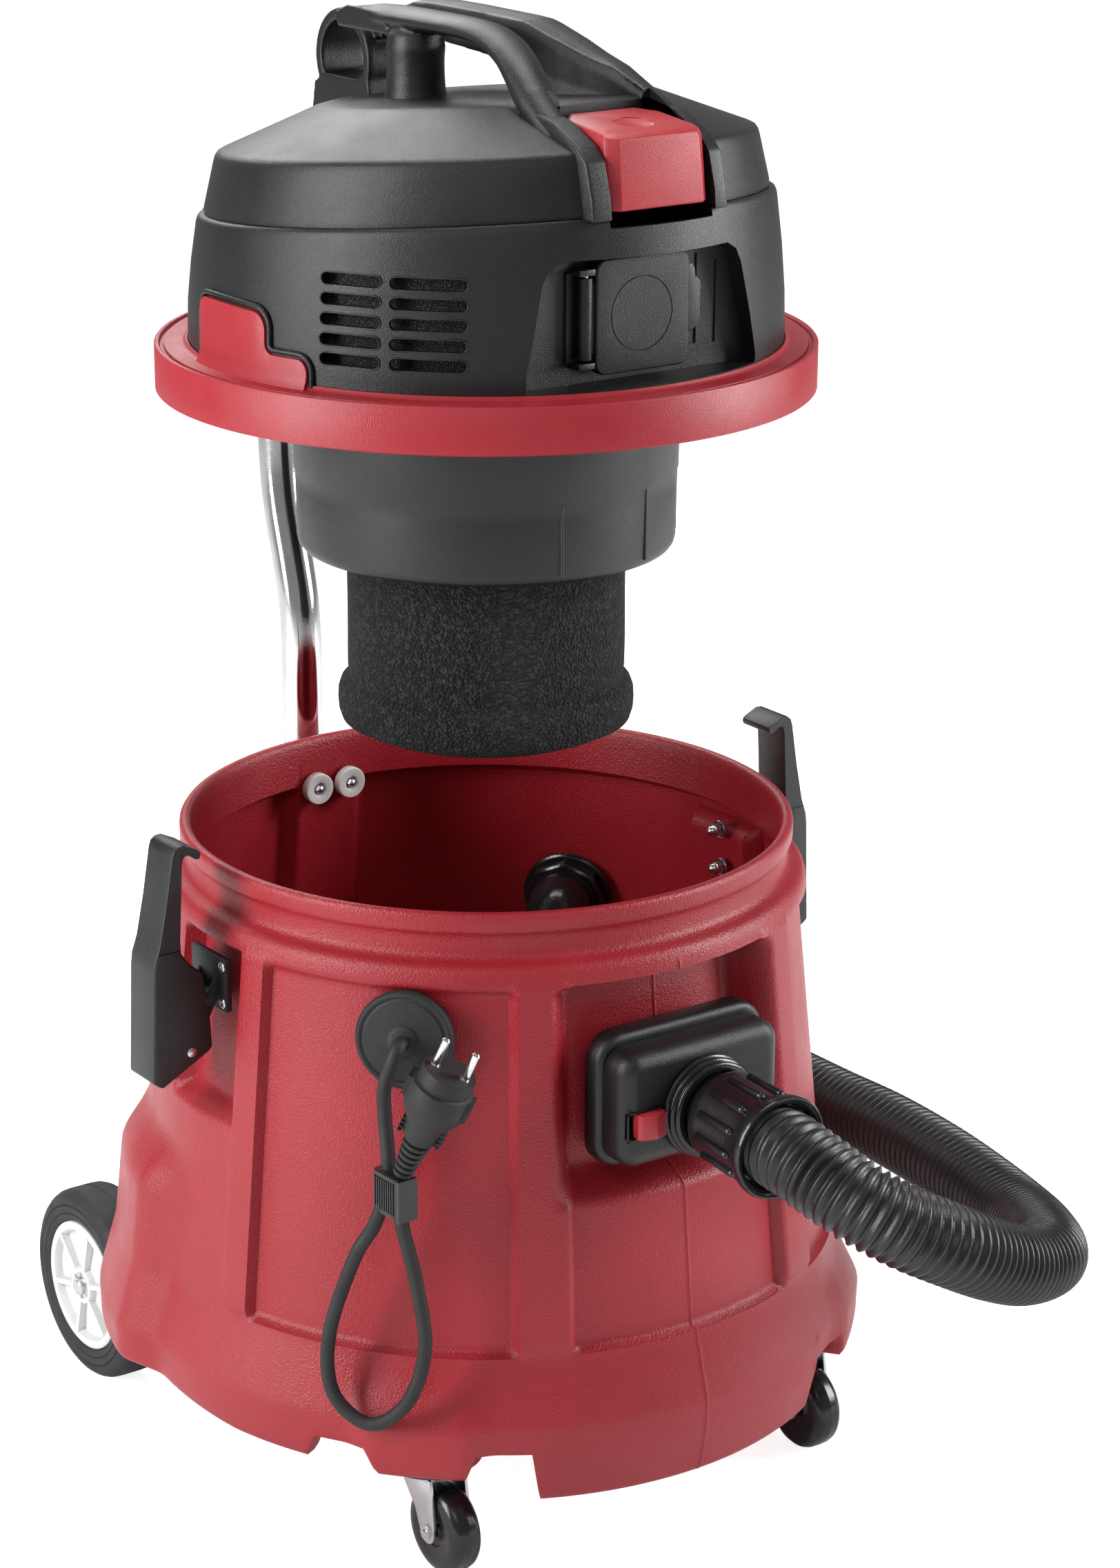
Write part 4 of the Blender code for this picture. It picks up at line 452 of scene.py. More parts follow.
def makeHose():
    start = Vector(hose["cuffAt"])
    start.y -= 0.0320 * math.sin(math.radians(hose["dip"]))
    turn = Matrix.Translation(start) @ facing(0, -hose["dip"])
    along = (turn.to_3x3() @ Vector((0, 0, 1))).normalized()
    n = hose["cuffLength"]
    out = wall(outlet["angle"], 1.0)
    at = outlet["radius"] + 0.0070
    end = out * (at + 0.0530) + Vector((0, 0, 0.2486))
    points = [start + along * (n - 0.0085), start + along * (n + 0.010)] + [Vector(p) for p in hoseRoute]
    points += [end + Vector((0, 0, -0.025)), end + Vector((0, 0, -0.012)), end]
    path, length = curveThrough(points, hose["pitch"] / 8)
    top, deep = hose["diameter"] / 2, hose["groove"]

    def radius(k):
        wave = 0.5 - 0.5 * math.cos(2 * math.pi * k / 8)
        return top - deep * (1 - wave ** 0.8)

    tube = Shape().sweep(path, radius, 48).make("drainHose", "blackHose", "tank", "drain_hose", 70)
    ends = [tuple(p + Vector((0, axisY, 0))) for p in path[::8]]

    # the cuff: a thin flange, twelve raised bars and a flared ring that takes the hose
    cuff = Shape()
    cuff.turn([(0.0190, -0.0075), (0.0225, -0.0075), (0.0225, 0.0005), (0.0262, 0.0005), (0.0272, 0.0015),
               (0.0276, 0.004),
               (0.0272, 0.008), (0.0268, 0.012), (0.0272, 0.034), (0.0276, 0.0415), (0.0284, 0.0445), (0.0300, 0.0468),
               (0.0310, 0.0482), (0.0318, 0.0498), (0.0320, 0.0515), (0.0320, 0.0538), (0.0314, 0.0550),
               (0.0300, 0.0552),
               (0.0283, 0.0545), (0.0270, 0.0525), (0.0262, 0.0500), (0.0262, 0.0440), (0.0190, 0.0440)], 96, True,
              matrix=turn)
    for i in range(12):
        spin = turn @ Matrix.Rotation(math.radians(30 * i + 8), 4, "Z")
        bead = [(0.0271, 0, 0.0085), (0.0275, 0, 0.0100), (0.0276, 0, 0.024), (0.0280, 0, 0.0375), (0.0279, 0, 0.0395),
                 (0.0274, 0, 0.0408)]
        sizes = [(0.0010, 0.0008), (0.0022, 0.0021), (0.0024, 0.0023), (0.0025, 0.0024), (0.0022, 0.0021),
                 (0.0010, 0.0008)]
        bar = Shape().sweep(bead, lambda k: sizes[k], 16, side=(0, 1, 0))
        cuff.add(bar.verts, bar.faces, spin)
    piece = cuff.make("hoseCuff", "blackGloss", "tank", "hose_cuff", 50)

    # elbow at the outlet
    bend = [out * r + Vector((0, 0, z)) for r, z in
            ((at, 0.29), (at + 0.016, 0.29), (at + 0.026, 0.2888), (at + 0.036, 0.286), (at + 0.044, 0.281),
             (at + 0.050, 0.274),
             (at + 0.0528, 0.266), (at + 0.0530, 0.258), (at + 0.0530, 0.249))]
    elbow = Shape().sweep(bend, 0.0232, 40)
    lip = Matrix.Translation(out * (at + 0.003) + Vector((0, 0, outlet["z"]))) @ facing(outlet["angle"])
    elbow.turn([(0.020, -0.0035), (0.0250, -0.0035), (0.0262, -0.0022), (0.0262, 0.002), (0.0250, 0.0035),
                (0.020, 0.0035)],
               64, True, matrix=lip)
    elbow.turn([(0.0225, 0.2492), (0.0262, 0.2492), (0.0268, 0.2502), (0.0268, 0.2560), (0.0258, 0.2575),
                (0.0225, 0.2580)], 64, True,
               matrix=Matrix.Translation(out * (at + 0.0530)))
    bent = elbow.make("hoseElbow", "blackGloss", "tank", "hose_elbow", 45)
    print("hose laid:", round(length, 3), "m")


def makeCable():
    path, length = curveThrough(cableRoute, 0.003)
    cord = Shape().sweep(path, cable["diameter"] / 2, 20).make("pumpCable", "blackRubber", "tank", "pump_cable", 60)
    rail = [tuple(p + Vector((0, axisY, 0))) for p in path]
    low, high = path[-1], Vector(cable["plugAt"])
    along = (high - low).normalized()
    across = Vector((-along.y, along.x, 0)).normalized()
    # the two pins stand side by side as seen from the machine's front left
    pinWay = Vector((math.cos(math.radians(-50)), math.sin(math.radians(-50)), 0))
    pinWay = (pinWay - along * pinWay.dot(along)).normalized()
    turn = Matrix((pinWay, along.cross(pinWay), along)).transposed().to_4x4()
    turn.translation = low + along * 0.0016
    # ribbed strain relief
    body = Shape()
    outline = [(0.0001, 0.0), (0.0050, 0.0)]
    for i in range(6):
        z, r = 0.0004 + i * 0.0042, 0.0056 + i * 0.00045
        outline += [(r, z), (r + 0.0004, z + 0.0004), (r + 0.0004, z + 0.0022), (r, z + 0.0026),
                    (r - 0.0014, z + 0.0028),
                    (r - 0.0014, z + 0.0040)]
    outline += [(0.0088, 0.0262), (0.0094, 0.0270), (0.0110, 0.0290), (0.0116, 0.0310), (0.0121, 0.0345),
                (0.0128, 0.0385),
                (0.0136, 0.0410), (0.0154, 0.0440), (0.0176, 0.0475), (0.0186, 0.0505), (0.0189, 0.0530),
                (0.0189, 0.0640),
                (0.0184, 0.0655), (0.0170, 0.0660), (0.0163, 0.0665), (0.0163, 0.0752), (0.0158, 0.0760),
                (0.0001, 0.0760)]
    body.turn(outline, 64, matrix=turn)
    # finger grips down both sides of the neck, and the flat shoulders at the sides
    for sign in (-1, 1):
        for k in range(4):
            body.block((0.0022, 0.0150, 0.0010), (sign * 0.0122, 0, 0.0300 + 0.0030 * k), turn)
        body.block((0.0050, 0.0120, 0.0125), (sign * 0.0178, 0, 0.0585), turn)
    plug = body.make("pumpPlug", "blackRubber", "tank", "pump_plug", 40)
    grips = Shape()
    for sign in (-1, 1):
        base = turn @ Vector((sign * 0.0095, 0, 0.0755))
        tip = turn @ Vector((sign * 0.0095, 0, 0.0945))
        grips.rod(base, tip, 0.0024, 24, 0.0012)
        grips.turn([(0.0001, 0), (0.0034, 0), (0.0034, 0.0010), (0.0001, 0.0010)], 24,
                   matrix=Matrix.Translation(base) @ turn.to_3x3().to_4x4() @ Matrix.Translation((0, 0, -0.0003)))
    pins = grips.make("plugPins", "plugPin", "tank", (), 40)
    # the clip that holds the two strands of the cable together
    a, b = Vector((-0.1772, -0.1545, 0.2600)), Vector((-0.1765, -0.1680, 0.2600))
    middle = (a + b) / 2
    way = (b - a).normalized()
    # its long side runs across both strands
    hold = Matrix((way, way.cross(Vector((0, 0, 1))).normalized() * -1, Vector((0, 0, 1)))).transposed().to_4x4()
    hold.translation = middle
    clip = Shape()
    sections = []
    for z, grow in ((-0.0130, -0.0007), (-0.0126, 0.0), (-0.0050, 0.0002), (0.0050, 0.0002), (0.0126, 0.0),
                    (0.0130, -0.0007)):
        outline = roundedBox(0.0262 + 2 * grow, 0.0122 + 2 * grow, 0.0052 + grow)
        sections.append([(x, y, z) for x, y in outline])
    clip.grid(sections, True, hold, True, True)
    for k in range(9):
        for sign in (-1, 1):
            clip.block((0.0009, 0.0010, 0.0200), (-0.0088 + 0.0022 * k, sign * 0.0063, 0), hold)
    clip.block((0.0030, 0.0136, 0.0262), (0.0138, 0, 0), hold)
    tie = clip.make("cableClip", "blackGloss", "tank", (), 35)
    # rubber grommet the cable comes out of
    seat = wall(-47.7, between(0.343, ((0.142, 0.224), (0.381, 0.2005))) + 0.0012, 0.343)
    disc = Shape().turn([(0.0001, -0.003), (0.0290, -0.003), (0.0298, 0.000), (0.0300, 0.0022), (0.0292, 0.0044),
                         (0.0276, 0.0054),
                         (0.0262, 0.0052), (0.0254, 0.0046), (0.0246, 0.0048), (0.0238, 0.0056), (0.0180, 0.0060),
                         (0.0098, 0.0066), (0.0088, 0.0078), (0.0070, 0.0084), (0.0001, 0.0084)], 80,
                        matrix=Matrix.Translation(seat) @ facing(-47.7, 5.6))
    disc.make("cableGrommet", "blackRubber", "tank", "cable_grommet", 40)
    print("cable laid:", round(length, 3), "m")


makeHose()
makeCable()


# tank
tank = {"rib": 0.0020, "panel": 0.0056, "recess": 0.022, "latchDent": 0.0122, "fender": 0.0155, "wall": 0.004,
        "seam": 0.0007}


def plainRadius(z):
    soft = 0.0
    for shift in (-0.002, -0.001, 0.0, 0.001, 0.002):
        soft += between(z + shift, ((0.050, 0.2290), (0.086, 0.2355), (0.105, 0.2360), (0.1455, 0.2245),
                                    (0.381, 0.2005), (0.39, 0.1996)))
    return soft / 5


def band(x, half, soft):
    return 1 - smooth(half, half + soft, abs(x))


def tankDepth(angle, z):
    d = 0.0
    tall = smooth(0.147, 0.155, z) * (1 - smooth(0.3735, 0.3795, z))
    for c, half in ((-77.5, 2.6), (-25.4, 4.4), (25.4, 4.4), (77.5, 2.6)):
        d += tank["rib"] * band(angle - c, half, 0.9) * tall
    for c, half in ((-52.2, 21.9), (52.2, 21.9), (0.0, 20.4)):
        d -= tank["panel"] * band(angle - c, half, 0.9) * smooth(0.1470, 0.1505, z) * (1 - smooth(0.3680, 0.3740, z))
    d -= tank["recess"] * band(angle, 18.9, 5.2) * smooth(0.236, 0.2545, z) * (1 - smooth(0.366, 0.374, z))
    for side in (-90, 90):
        d -= tank["latchDent"] * band(angle - side, 8.3, 1.6) * smooth(0.262, 0.276, z) * (1 - smooth(0.368, 0.375, z))
    for side in (-113, 113):
        d += tank["fender"] * band(angle - side, 10.0, 9.0) * (1 - smooth(0.196, 0.236, z))
    back = abs((angle + 360) % 360 - 180)
    d -= 0.010 * (1 - smooth(7.1, 8.6, back)) * smooth(0.282, 0.294, z)
    for side in (-44.4, 44.4):
        d += 0.006 * band(angle - side, 6.0, 6.0) * (1 - smooth(0.105, 0.138, z))
    if z < 0.40:
        d += tank["seam"] * (1 - smooth(0.05, 0.22, abs(angle)))
    return d


def skirtLow(angle):
    a = abs(angle)
    return between(a, ((26.3, 0.0550), (27.6, 0.0880), (36.0, 0.0890), (37.4, 0.0735), (50.6, 0.0735), (52.4, 0.0890),
                       (60.5, 0.0890), (62.0, 0.0735), (76.0, 0.0745), (100.0, 0.0830), (180.0, 0.0850)))


def makeTank():
    fine = 0.75
    columns = sorted(set([round(-180 + fine * i, 3) for i in range(480)] + [-0.3, -0.15, 0.15, 0.3]
                         + [s * (c + d) for s in (-1, 1) for c in (27.0, 37.0, 51.5) for d in (-0.5, -0.2, 0.2, 0.5)]))
    rows = []
    for k in range(26):
        t = k / 26
        row = []
        for a in columns:
            z = skirtLow(a) + (0.145 - skirtLow(a)) * t
            edge = 0.0018 * (1 - smooth(0, 0.0035, z - skirtLow(a)))
            row.append(wall(a, plainRadius(z) + tankDepth(a, z) - edge, z))
        rows.append(row)
    z = 0.145
    while z < 0.3795:
        rows.append([wall(a, plainRadius(z) + tankDepth(a, z), z) for a in columns])
        z += 0.0021
    rim = ((0.2003, 0.3800), (0.1996, 0.3825), (0.1982, 0.3848), (0.1962, 0.3864), (0.1938, 0.3873), (0.1914, 0.3884),
           (0.1896, 0.3902), (0.1888, 0.3925), (0.1886, 0.3990), (0.1890, 0.4020), (0.1902, 0.4040), (0.1914, 0.4052),
           (0.1919, 0.4066),
           (0.1920, 0.4130), (0.1917, 0.4150), (0.1908, 0.4164), (0.1896, 0.4171), (0.1878, 0.4172), (0.1862, 0.4166),
           (0.1852, 0.4152), (0.1847, 0.4125), (0.1845, 0.4060), (0.1845, 0.3860))
    for r, z in rim:
        rows.append([wall(a, r - (0.010 if abs(abs(a) - 180) < 8 and 0.3800 <= z < 0.3845 and r > 0.195 else 0),
                          z) for a in columns])
    z = 0.379
    while z > 0.100:
        rows.append([wall(a, plainRadius(z) + tankDepth(a, z) * (1 if z > 0.15 else 0.5) - tank["wall"],
                          z) for a in columns])
        z -= 0.0045
    rows.append([wall(a, 0.224, 0.0960) for a in columns])
    rows.append([wall(a, 0.208, 0.0920) for a in columns])
    rows.append([wall(a, 0.0005, 0.0920) for a in columns])
    shell = Shape()
    under = [[wall(a, plainRadius(0.086) - 0.012, skirtLow(a)) for a in columns],
             [wall(a, plainRadius(0.086) - 0.016, 0.0862) for a in columns],
             [wall(a, 0.0005, 0.0862) for a in columns]]
    shell.grid(list(reversed(under)) + rows, True, None, True, True)
    obj = shell.make("tankShell", "redTank", sharp=44)
    wells = Shape()
    for side in (-1, 1):
        wells.rod((side * 0.155, 0.190, 0.065), (side * 0.300, 0.190, 0.065), 0.073, 96, 0.004)
    cut(obj, wells.make("wellTool", "redTank"))
    extra = Shape()
    for side in (-1, 1):
        place = Matrix.Translation((side * 0.140, -0.143, 0))
        extra.turn([(0.0001, 0.0700), (0.0305, 0.0700), (0.0325, 0.0712), (0.0332, 0.0735), (0.0338, 0.0880),
                    (0.0001, 0.0890)], 64,
                   matrix=place)
        for x in (0.132, 0.146):
            extra.block((0.0035, 0.034, 0.034), (side * x, 0.190, 0.073))
        extra.block((0.0170, 0.024, 0.030), (side * 0.139, 0.190, 0.072))
    extra.make("tankFeet", "redTank", "tank", (), 44)
    shade(obj, 44)
    attach(obj, "tank", "tank_shell")
    print("tank:", len(obj.data.polygons), "faces")


makeTank()


# hose holder on the front wall, with its slider
inlet = {"plateY": -0.1906, "boxY": -0.2051, "faceY": -0.2271, "z": 0.301}


# a rounded slab whose front edge rolls over
def cushion(width, height, depth, corner, edge, matrix, steps=5):
    rows = []
    for i in range(steps + 1):
        t = math.radians(90 * i / steps)
        rows.append((edge * (1 - math.cos(t)), depth - edge + edge * math.sin(t)))
    levels = [(0.0006, 0.0), (0.0, 0.0006), (0.0, (depth - edge) * 0.6)] + rows
    sections = []
    for inset, z in levels:
        outline = roundedBox(width - 2 * inset, height - 2 * inset, max(corner - inset, 0.0008), 8)
        sections.append([(x, y, z) for x, y in outline])
    return Shape().grid(sections, True, matrix, True, True)


def makeInlet():
    front = facing(0)
    plate = cushion(0.122, 0.084, 0.0142, 0.017, 0.0045, Matrix.Translation((0, inlet["plateY"], inlet["z"])) @ front)
    plate.make("inletPlate", "blackHousing", "tank", "inlet_backplate", 60)
    body = cushion(0.116, 0.072, 0.0220, 0.013, 0.0100, Matrix.Translation((0, inlet["boxY"], inlet["z"])) @ front, 8)
    obj = body.make("inletBox", "blackHousing", sharp=60)
    window = Shape().block((0.0270, 0.020, 0.0162), (-0.0420, inlet["faceY"], 0.294))
    cut(obj, window.make("windowTool", "blackGloss"))
    shade(obj, 50)
    attach(obj, "tank", "inlet_housing")
    # a fine raised frame round the slider's window
    frameLine = Shape()
    for w, h, x, z in ((0.0290, 0.0010, -0.042, 0.3026), (0.0290, 0.0010, -0.042, 0.2854),
                       (0.0010, 0.0182, -0.0560, 0.294),
                       (0.0010, 0.0182, -0.0280, 0.294)):
        frameLine.block((w, 0.0010, h), (x, inlet["faceY"] - 0.0002, z))
    frameLine.make("windowFrame", "blackHousing", "tank", (), 40)
    collar = Shape().turn([(0.0253, 0), (0.0312, 0), (0.0318, 0.0006), (0.0320, 0.0016), (0.0314, 0.0026),
                           (0.0298, 0.0032),
                           (0.0296, 0.0042), (0.0310, 0.0050), (0.0312, 0.0062), (0.0304, 0.0072), (0.0288, 0.0078),
                           (0.0286, 0.0088), (0.0297, 0.0094), (0.0299, 0.0104), (0.0292, 0.0114), (0.0278, 0.0119),
                           (0.0253, 0.0119)], 96, True,
                          matrix=Matrix.Translation((0.001, inlet["faceY"] - 0.0003, 0.296)) @ front)
    collar.make("inletCollar", "blackGloss", "tank", "inlet_collar", 50)
    # slider: a bevelled key with an upright crest and fine grip ridges on its right half
    key = Shape()
    y = inlet["faceY"]
    key.prism([(-0.0495, y + 0.0040), (-0.0505, y - 0.0030), (-0.0488, y - 0.0052), (-0.0412, y - 0.0080),
               (-0.0395, y - 0.0078),
               (-0.0330, y - 0.0058), (-0.0318, y - 0.0040), (-0.0315, y + 0.0040)], 0.0152,
              Matrix.Translation((0, 0, 0.2864)))
    for k in range(8):
        x = -0.0388 + 0.00085 * k
        key.block((0.00040, 0.0010, 0.0140), (x, y - 0.0078 + 0.00026 * k, 0.294))
    key.make("inletSlider", "redKnob", "slider", "inlet_slider", 32, (0.0006, 2))


# latches, both sides
latch = {"pivotX": 0.225, "pivotZ": 0.3096, "arm": 0.1206, "width": 0.030}


def makeLatch(side, name):
    px, pz, h = latch["pivotX"], latch["pivotZ"], latch["arm"]
    mirror = Matrix.Diagonal((side, 1, 1, 1))

    def slab(outline, low, high):
        return Shape().prism(outline, high - low, mirror @ Matrix.Translation((0, high, 0)) @ upright)

    outline = [(0.020, -0.0196), (0.0265, -0.0150), (0.0250, 0.0200), (0.0237, 0.0540), (0.0228, 0.0610),
               (0.0192, 0.0710),
               (0.0140, 0.0960), (0.0092, h + 0.0040), (0.0078, h + 0.0082), (0.0048, h + 0.0105), (0.0010, h + 0.0108),
               (-0.0080, h + 0.0066), (-0.0100, h + 0.0050), (-0.0104, h + 0.0030), (-0.0095, h + 0.0001),
               (-0.0070, h + 0.0006), (-0.0020, h + 0.0040), (0.0012, h + 0.0036), (0.0024, h - 0.0010),
               (0.0050, 0.0720),
               (0.0046, 0.0640), (-0.0010, 0.0560), (-0.0100, 0.0485), (-0.0140, 0.0180), (-0.0149, 0.0006),
               (-0.0130, -0.0020)]
    lever = slab([(px + u, pz + v) for u, v in outline], -0.015, 0.015)
    obj = lever.make("latchLever" + name, "blackHousing", sharp=40)
    soften(obj, 0.0017, 3, 50)
    pocket = slab([(px + u, pz + v) for u, v in ((-0.030, -0.030), (0.0170, -0.0160), (0.0222, -0.0120),
                                                 (0.0195, 0.0540),
                                                 (0.0060, 0.0560), (-0.030, 0.060))], -0.0120, 0.0120)
    cut(obj, pocket.make("pocketTool", "blackHousing"))
    # the upper arm is narrower than the grip
    for s in (-1, 1):
        trim = slab([(px - 0.03, pz + 0.066), (px + 0.03, pz + 0.066), (px + 0.03, pz + 0.16), (px - 0.03, pz + 0.16)],
                    *sorted((s * 0.0142, s * 0.020)))
        cut(obj, trim.make("trimTool", "blackHousing"))
    shade(obj, 35)
    attach(obj, "latch_" + name.lower(), "latch_lever_" + name.lower())
    rivet = Shape()
    for s in (-1, 1):
        rivet.turn([(0.0001, 0), (0.0030, 0), (0.0030, 0.0005), (0.0022, 0.0011), (0.0001, 0.0013)], 24,
                   matrix=Matrix.Translation((side * px, s * 0.0150, pz)) @ Matrix.Rotation(math.radians(-90 * s), 4,
                       "X"))
    rivet.make("latchRivets" + name, "zincPlate", "latch_" + name.lower(), (), 40)
    # bracket: base on the wall, two arms to the pin, two screws
    floorX = between(pz - 0.030, ((0.142, 0.224), (0.381, 0.2005))) - 0.012 + 0.0003
    base = Shape().block((0.0045, 0.040, 0.0334), (side * (floorX + 0.0024), 0, 0.3483))
    for s in (-1, 1):
        arm = [(floorX + 0.003, 0.3420)] + [(px + 0.0052 * math.cos(math.radians(t)),
                                             pz + 0.0052 * math.sin(math.radians(t)))
                                            for t in range(-140, 41, 20)] + [(floorX + 0.003, 0.3560)]
        low = 0.0082 if s > 0 else -0.0112
        piece = slab(arm, low, low + 0.003)
        base.add(piece.verts, piece.faces)
    base.make("latchBracket" + name, "blackBracket", "tank", "latch_bracket_" + name.lower(), 35, (0.0007, 2))
    screws = Shape()
    for z in (0.3600, 0.3368):
        turn = Matrix.Translation((side * (floorX + 0.0046), -0.0160, z)) @ Matrix.Rotation(math.radians(90 * side), 4,
            "Y")
        screws.turn([(0.0009, 0.0006), (0.0016, 0.0010), (0.0026, 0.0009), (0.0033, 0.0002), (0.0033, -0.0005),
                     (0.0009, -0.0005)], 28, True,
                    matrix=turn)
        screws.turn([(0.0001, 0.0002), (0.0010, 0.0002)], 12, matrix=turn)
    screws.make("latchScrews" + name, "zincPlate", "tank", (), 40)


# push handle and the fixings inside the tank
def makePushHandle():
    route = [(0, 0.2175, z) for z in (0.300, 0.340, 0.400, 0.450, 0.475)]
    route += [(0, 0.2205, 0.5035), (0, 0.2275, 0.5305), (0, 0.2355, 0.5575), (0, 0.2400, 0.5800), (0, 0.2418, 0.6000),
              (0, 0.2430, 0.6250), (0, 0.2465, 0.6800), (0, 0.2505, 0.7350)]
    path, _ = curveThrough(route, 0.006)
    tube = Shape().sweep(path, lambda k: 0.0135 - (0.0006 if k in (0, len(path) - 1) else 0), 40)
    tube.make("pushTube", "brightChrome", "tank", "push_handle_tube", 60)
    grip = Shape()
    turn = Matrix.Translation((-0.045, 0.2505, 0.7503)) @ Matrix.Rotation(math.radians(90), 4, "Y")
    outline = [(0.0001, 0), (0.0125, 0), (0.0150, 0.0025), (0.0150, 0.0060)]
    for k in range(13):
        z = 0.0080 + 0.0058 * k
        outline += [(0.0150, z), (0.0143, z + 0.0007), (0.0143, z + 0.0014), (0.0150, z + 0.0021)]
    outline += [(0.0150, 0.0875), (0.0125, 0.090), (0.0001, 0.090)]
    grip.turn(outline, 40, matrix=turn)
    grip.make("pushGrip", "blackRubber", "tank", "push_handle_grip", 40)
    for name, x in (("left", -0.0125), ("right", 0.0125)):
        y = 0.1823
        turn = Matrix.Translation((x, y, 0.3835)) @ Matrix.Rotation(math.radians(90), 4, "X")
        Shape().turn([(0.0042, 0.0), (0.0102, 0.0), (0.0105, 0.0004), (0.0105, 0.0054), (0.0099, 0.0060),
                      (0.0052, 0.0060), (0.0046, 0.0056),
                      (0.0042, 0.0040)], 48, True, matrix=turn).make("spacer" + name, "whiteHub", "tank",
                                                                     "clamp_spacer_" + name, 40)
        bolt = Shape().turn([(0.0001, 0.0078), (0.0018, 0.0074), (0.0030, 0.0064), (0.0036, 0.0050), (0.0036, 0.0038),
                             (0.0046, 0.0038),
                             (0.0046, 0.0030), (0.0001, 0.0030)], 6, matrix=turn)
        bolt.make("spacerNut" + name, "zincPlate", "tank", (), 30)
    for side in (-1, 1):
        nuts = Shape()
        for z, r in ((0.3704, 0.1850), (0.3440, 0.1868)):
            turn = Matrix.Translation((side * (r - 0.0045), -0.008, z)) @ Matrix.Rotation(math.radians(-90 * side), 4,
                "Y")
            nuts.turn([(0.0001, 0.0100), (0.0020, 0.0094), (0.0033, 0.0078), (0.0037, 0.0058), (0.0040, 0.0056)], 24,
                      matrix=turn)
            nuts.turn([(0.0046, 0.0056), (0.0046, 0.0012), (0.0001, 0.0012)], 6, matrix=turn)
            nuts.turn([(0.0056, 0.0012), (0.0060, 0.0008), (0.0060, 0.0), (0.0001, 0.0)], 32, matrix=turn)
        nuts.make("acornNuts" + ("Left" if side < 0 else "Right"), "zincPlate", "tank", (), 35)


# rear wheels and castors
def makeWheels():
    for name, side in (("left", -1), ("right", 1)):
        turn = Matrix.Translation((side * 0.199, 0.190, 0.065)) @ Matrix.Rotation(math.radians(-90 * side), 4, "Y")
        tyre = Shape().turn([(0.0443, 0.0032), (0.0450, 0.0022), (0.0470, 0.0012), (0.0490, 0.0008), (0.0496, 0.0014),
                             (0.0502, 0.0008),
                             (0.0545, 0.0004), (0.0551, 0.0011), (0.0557, 0.0005), (0.0590, 0.0012), (0.0617, 0.0030),
                             (0.0636, 0.0054),
                             (0.0647, 0.0082), (0.0650, 0.0120), (0.0650, 0.0180), (0.0645, 0.0184), (0.0645, 0.0196),
                             (0.0650, 0.0200),
                             (0.0650, 0.0260), (0.0647, 0.0298), (0.0636, 0.0326), (0.0617, 0.0350), (0.0590, 0.0368),
                             (0.0500, 0.0376), (0.0460, 0.0368), (0.0443, 0.0348)], 128, True, matrix=turn)
        tyre.make("tyre" + name, "blackRubber", "wheel_" + name, "rear_tyre_" + name, 32)
        hub = Shape().turn([(0.0068, 0.0010), (0.0120, 0.0006), (0.0126, 0.0012), (0.0130, 0.0030), (0.0134, 0.0052),
                            (0.0368, 0.0066),
                            (0.0375, 0.0035), (0.0385, 0.0016), (0.0400, 0.0010), (0.0425, 0.0010), (0.0438, 0.0020),
                            (0.0440, 0.0040),
                            (0.0440, 0.0340), (0.0432, 0.0365), (0.0380, 0.0370), (0.0372, 0.0330), (0.0370, 0.0240),
                            (0.0130, 0.0240), (0.0128, 0.0365), (0.0068, 0.0370)], 96, True, matrix=turn)
        for k in range(6):
            for z in (0.0058, 0.0290):
                spoke = turn @ Matrix.Rotation(math.radians(60 * k + 14), 4, "Z")
                hub.block((0.0270, 0.0034, 0.0096), (0.0250, 0, z), spoke)
        hub.make("hub" + name, "whiteHub", "wheel_" + name, "rear_hub_" + name, 38)
        cap = Shape().turn([(0.0001, -0.0026), (0.0040, -0.0024), (0.0058, -0.0012), (0.0062, 0.0006), (0.0092, 0.0008),
                            (0.0098, 0.0012),
                            (0.0001, 0.0014)], 40, matrix=turn)
        for k in range(6):
            cap.block((0.0030, 0.0012, 0.0006), (0.0080, 0, 0.0004),
                      turn @ Matrix.Rotation(math.radians(60 * k), 4, "Z"))
        cap.make("axleCap" + name, "zincPlate", "wheel_" + name, (), 30)


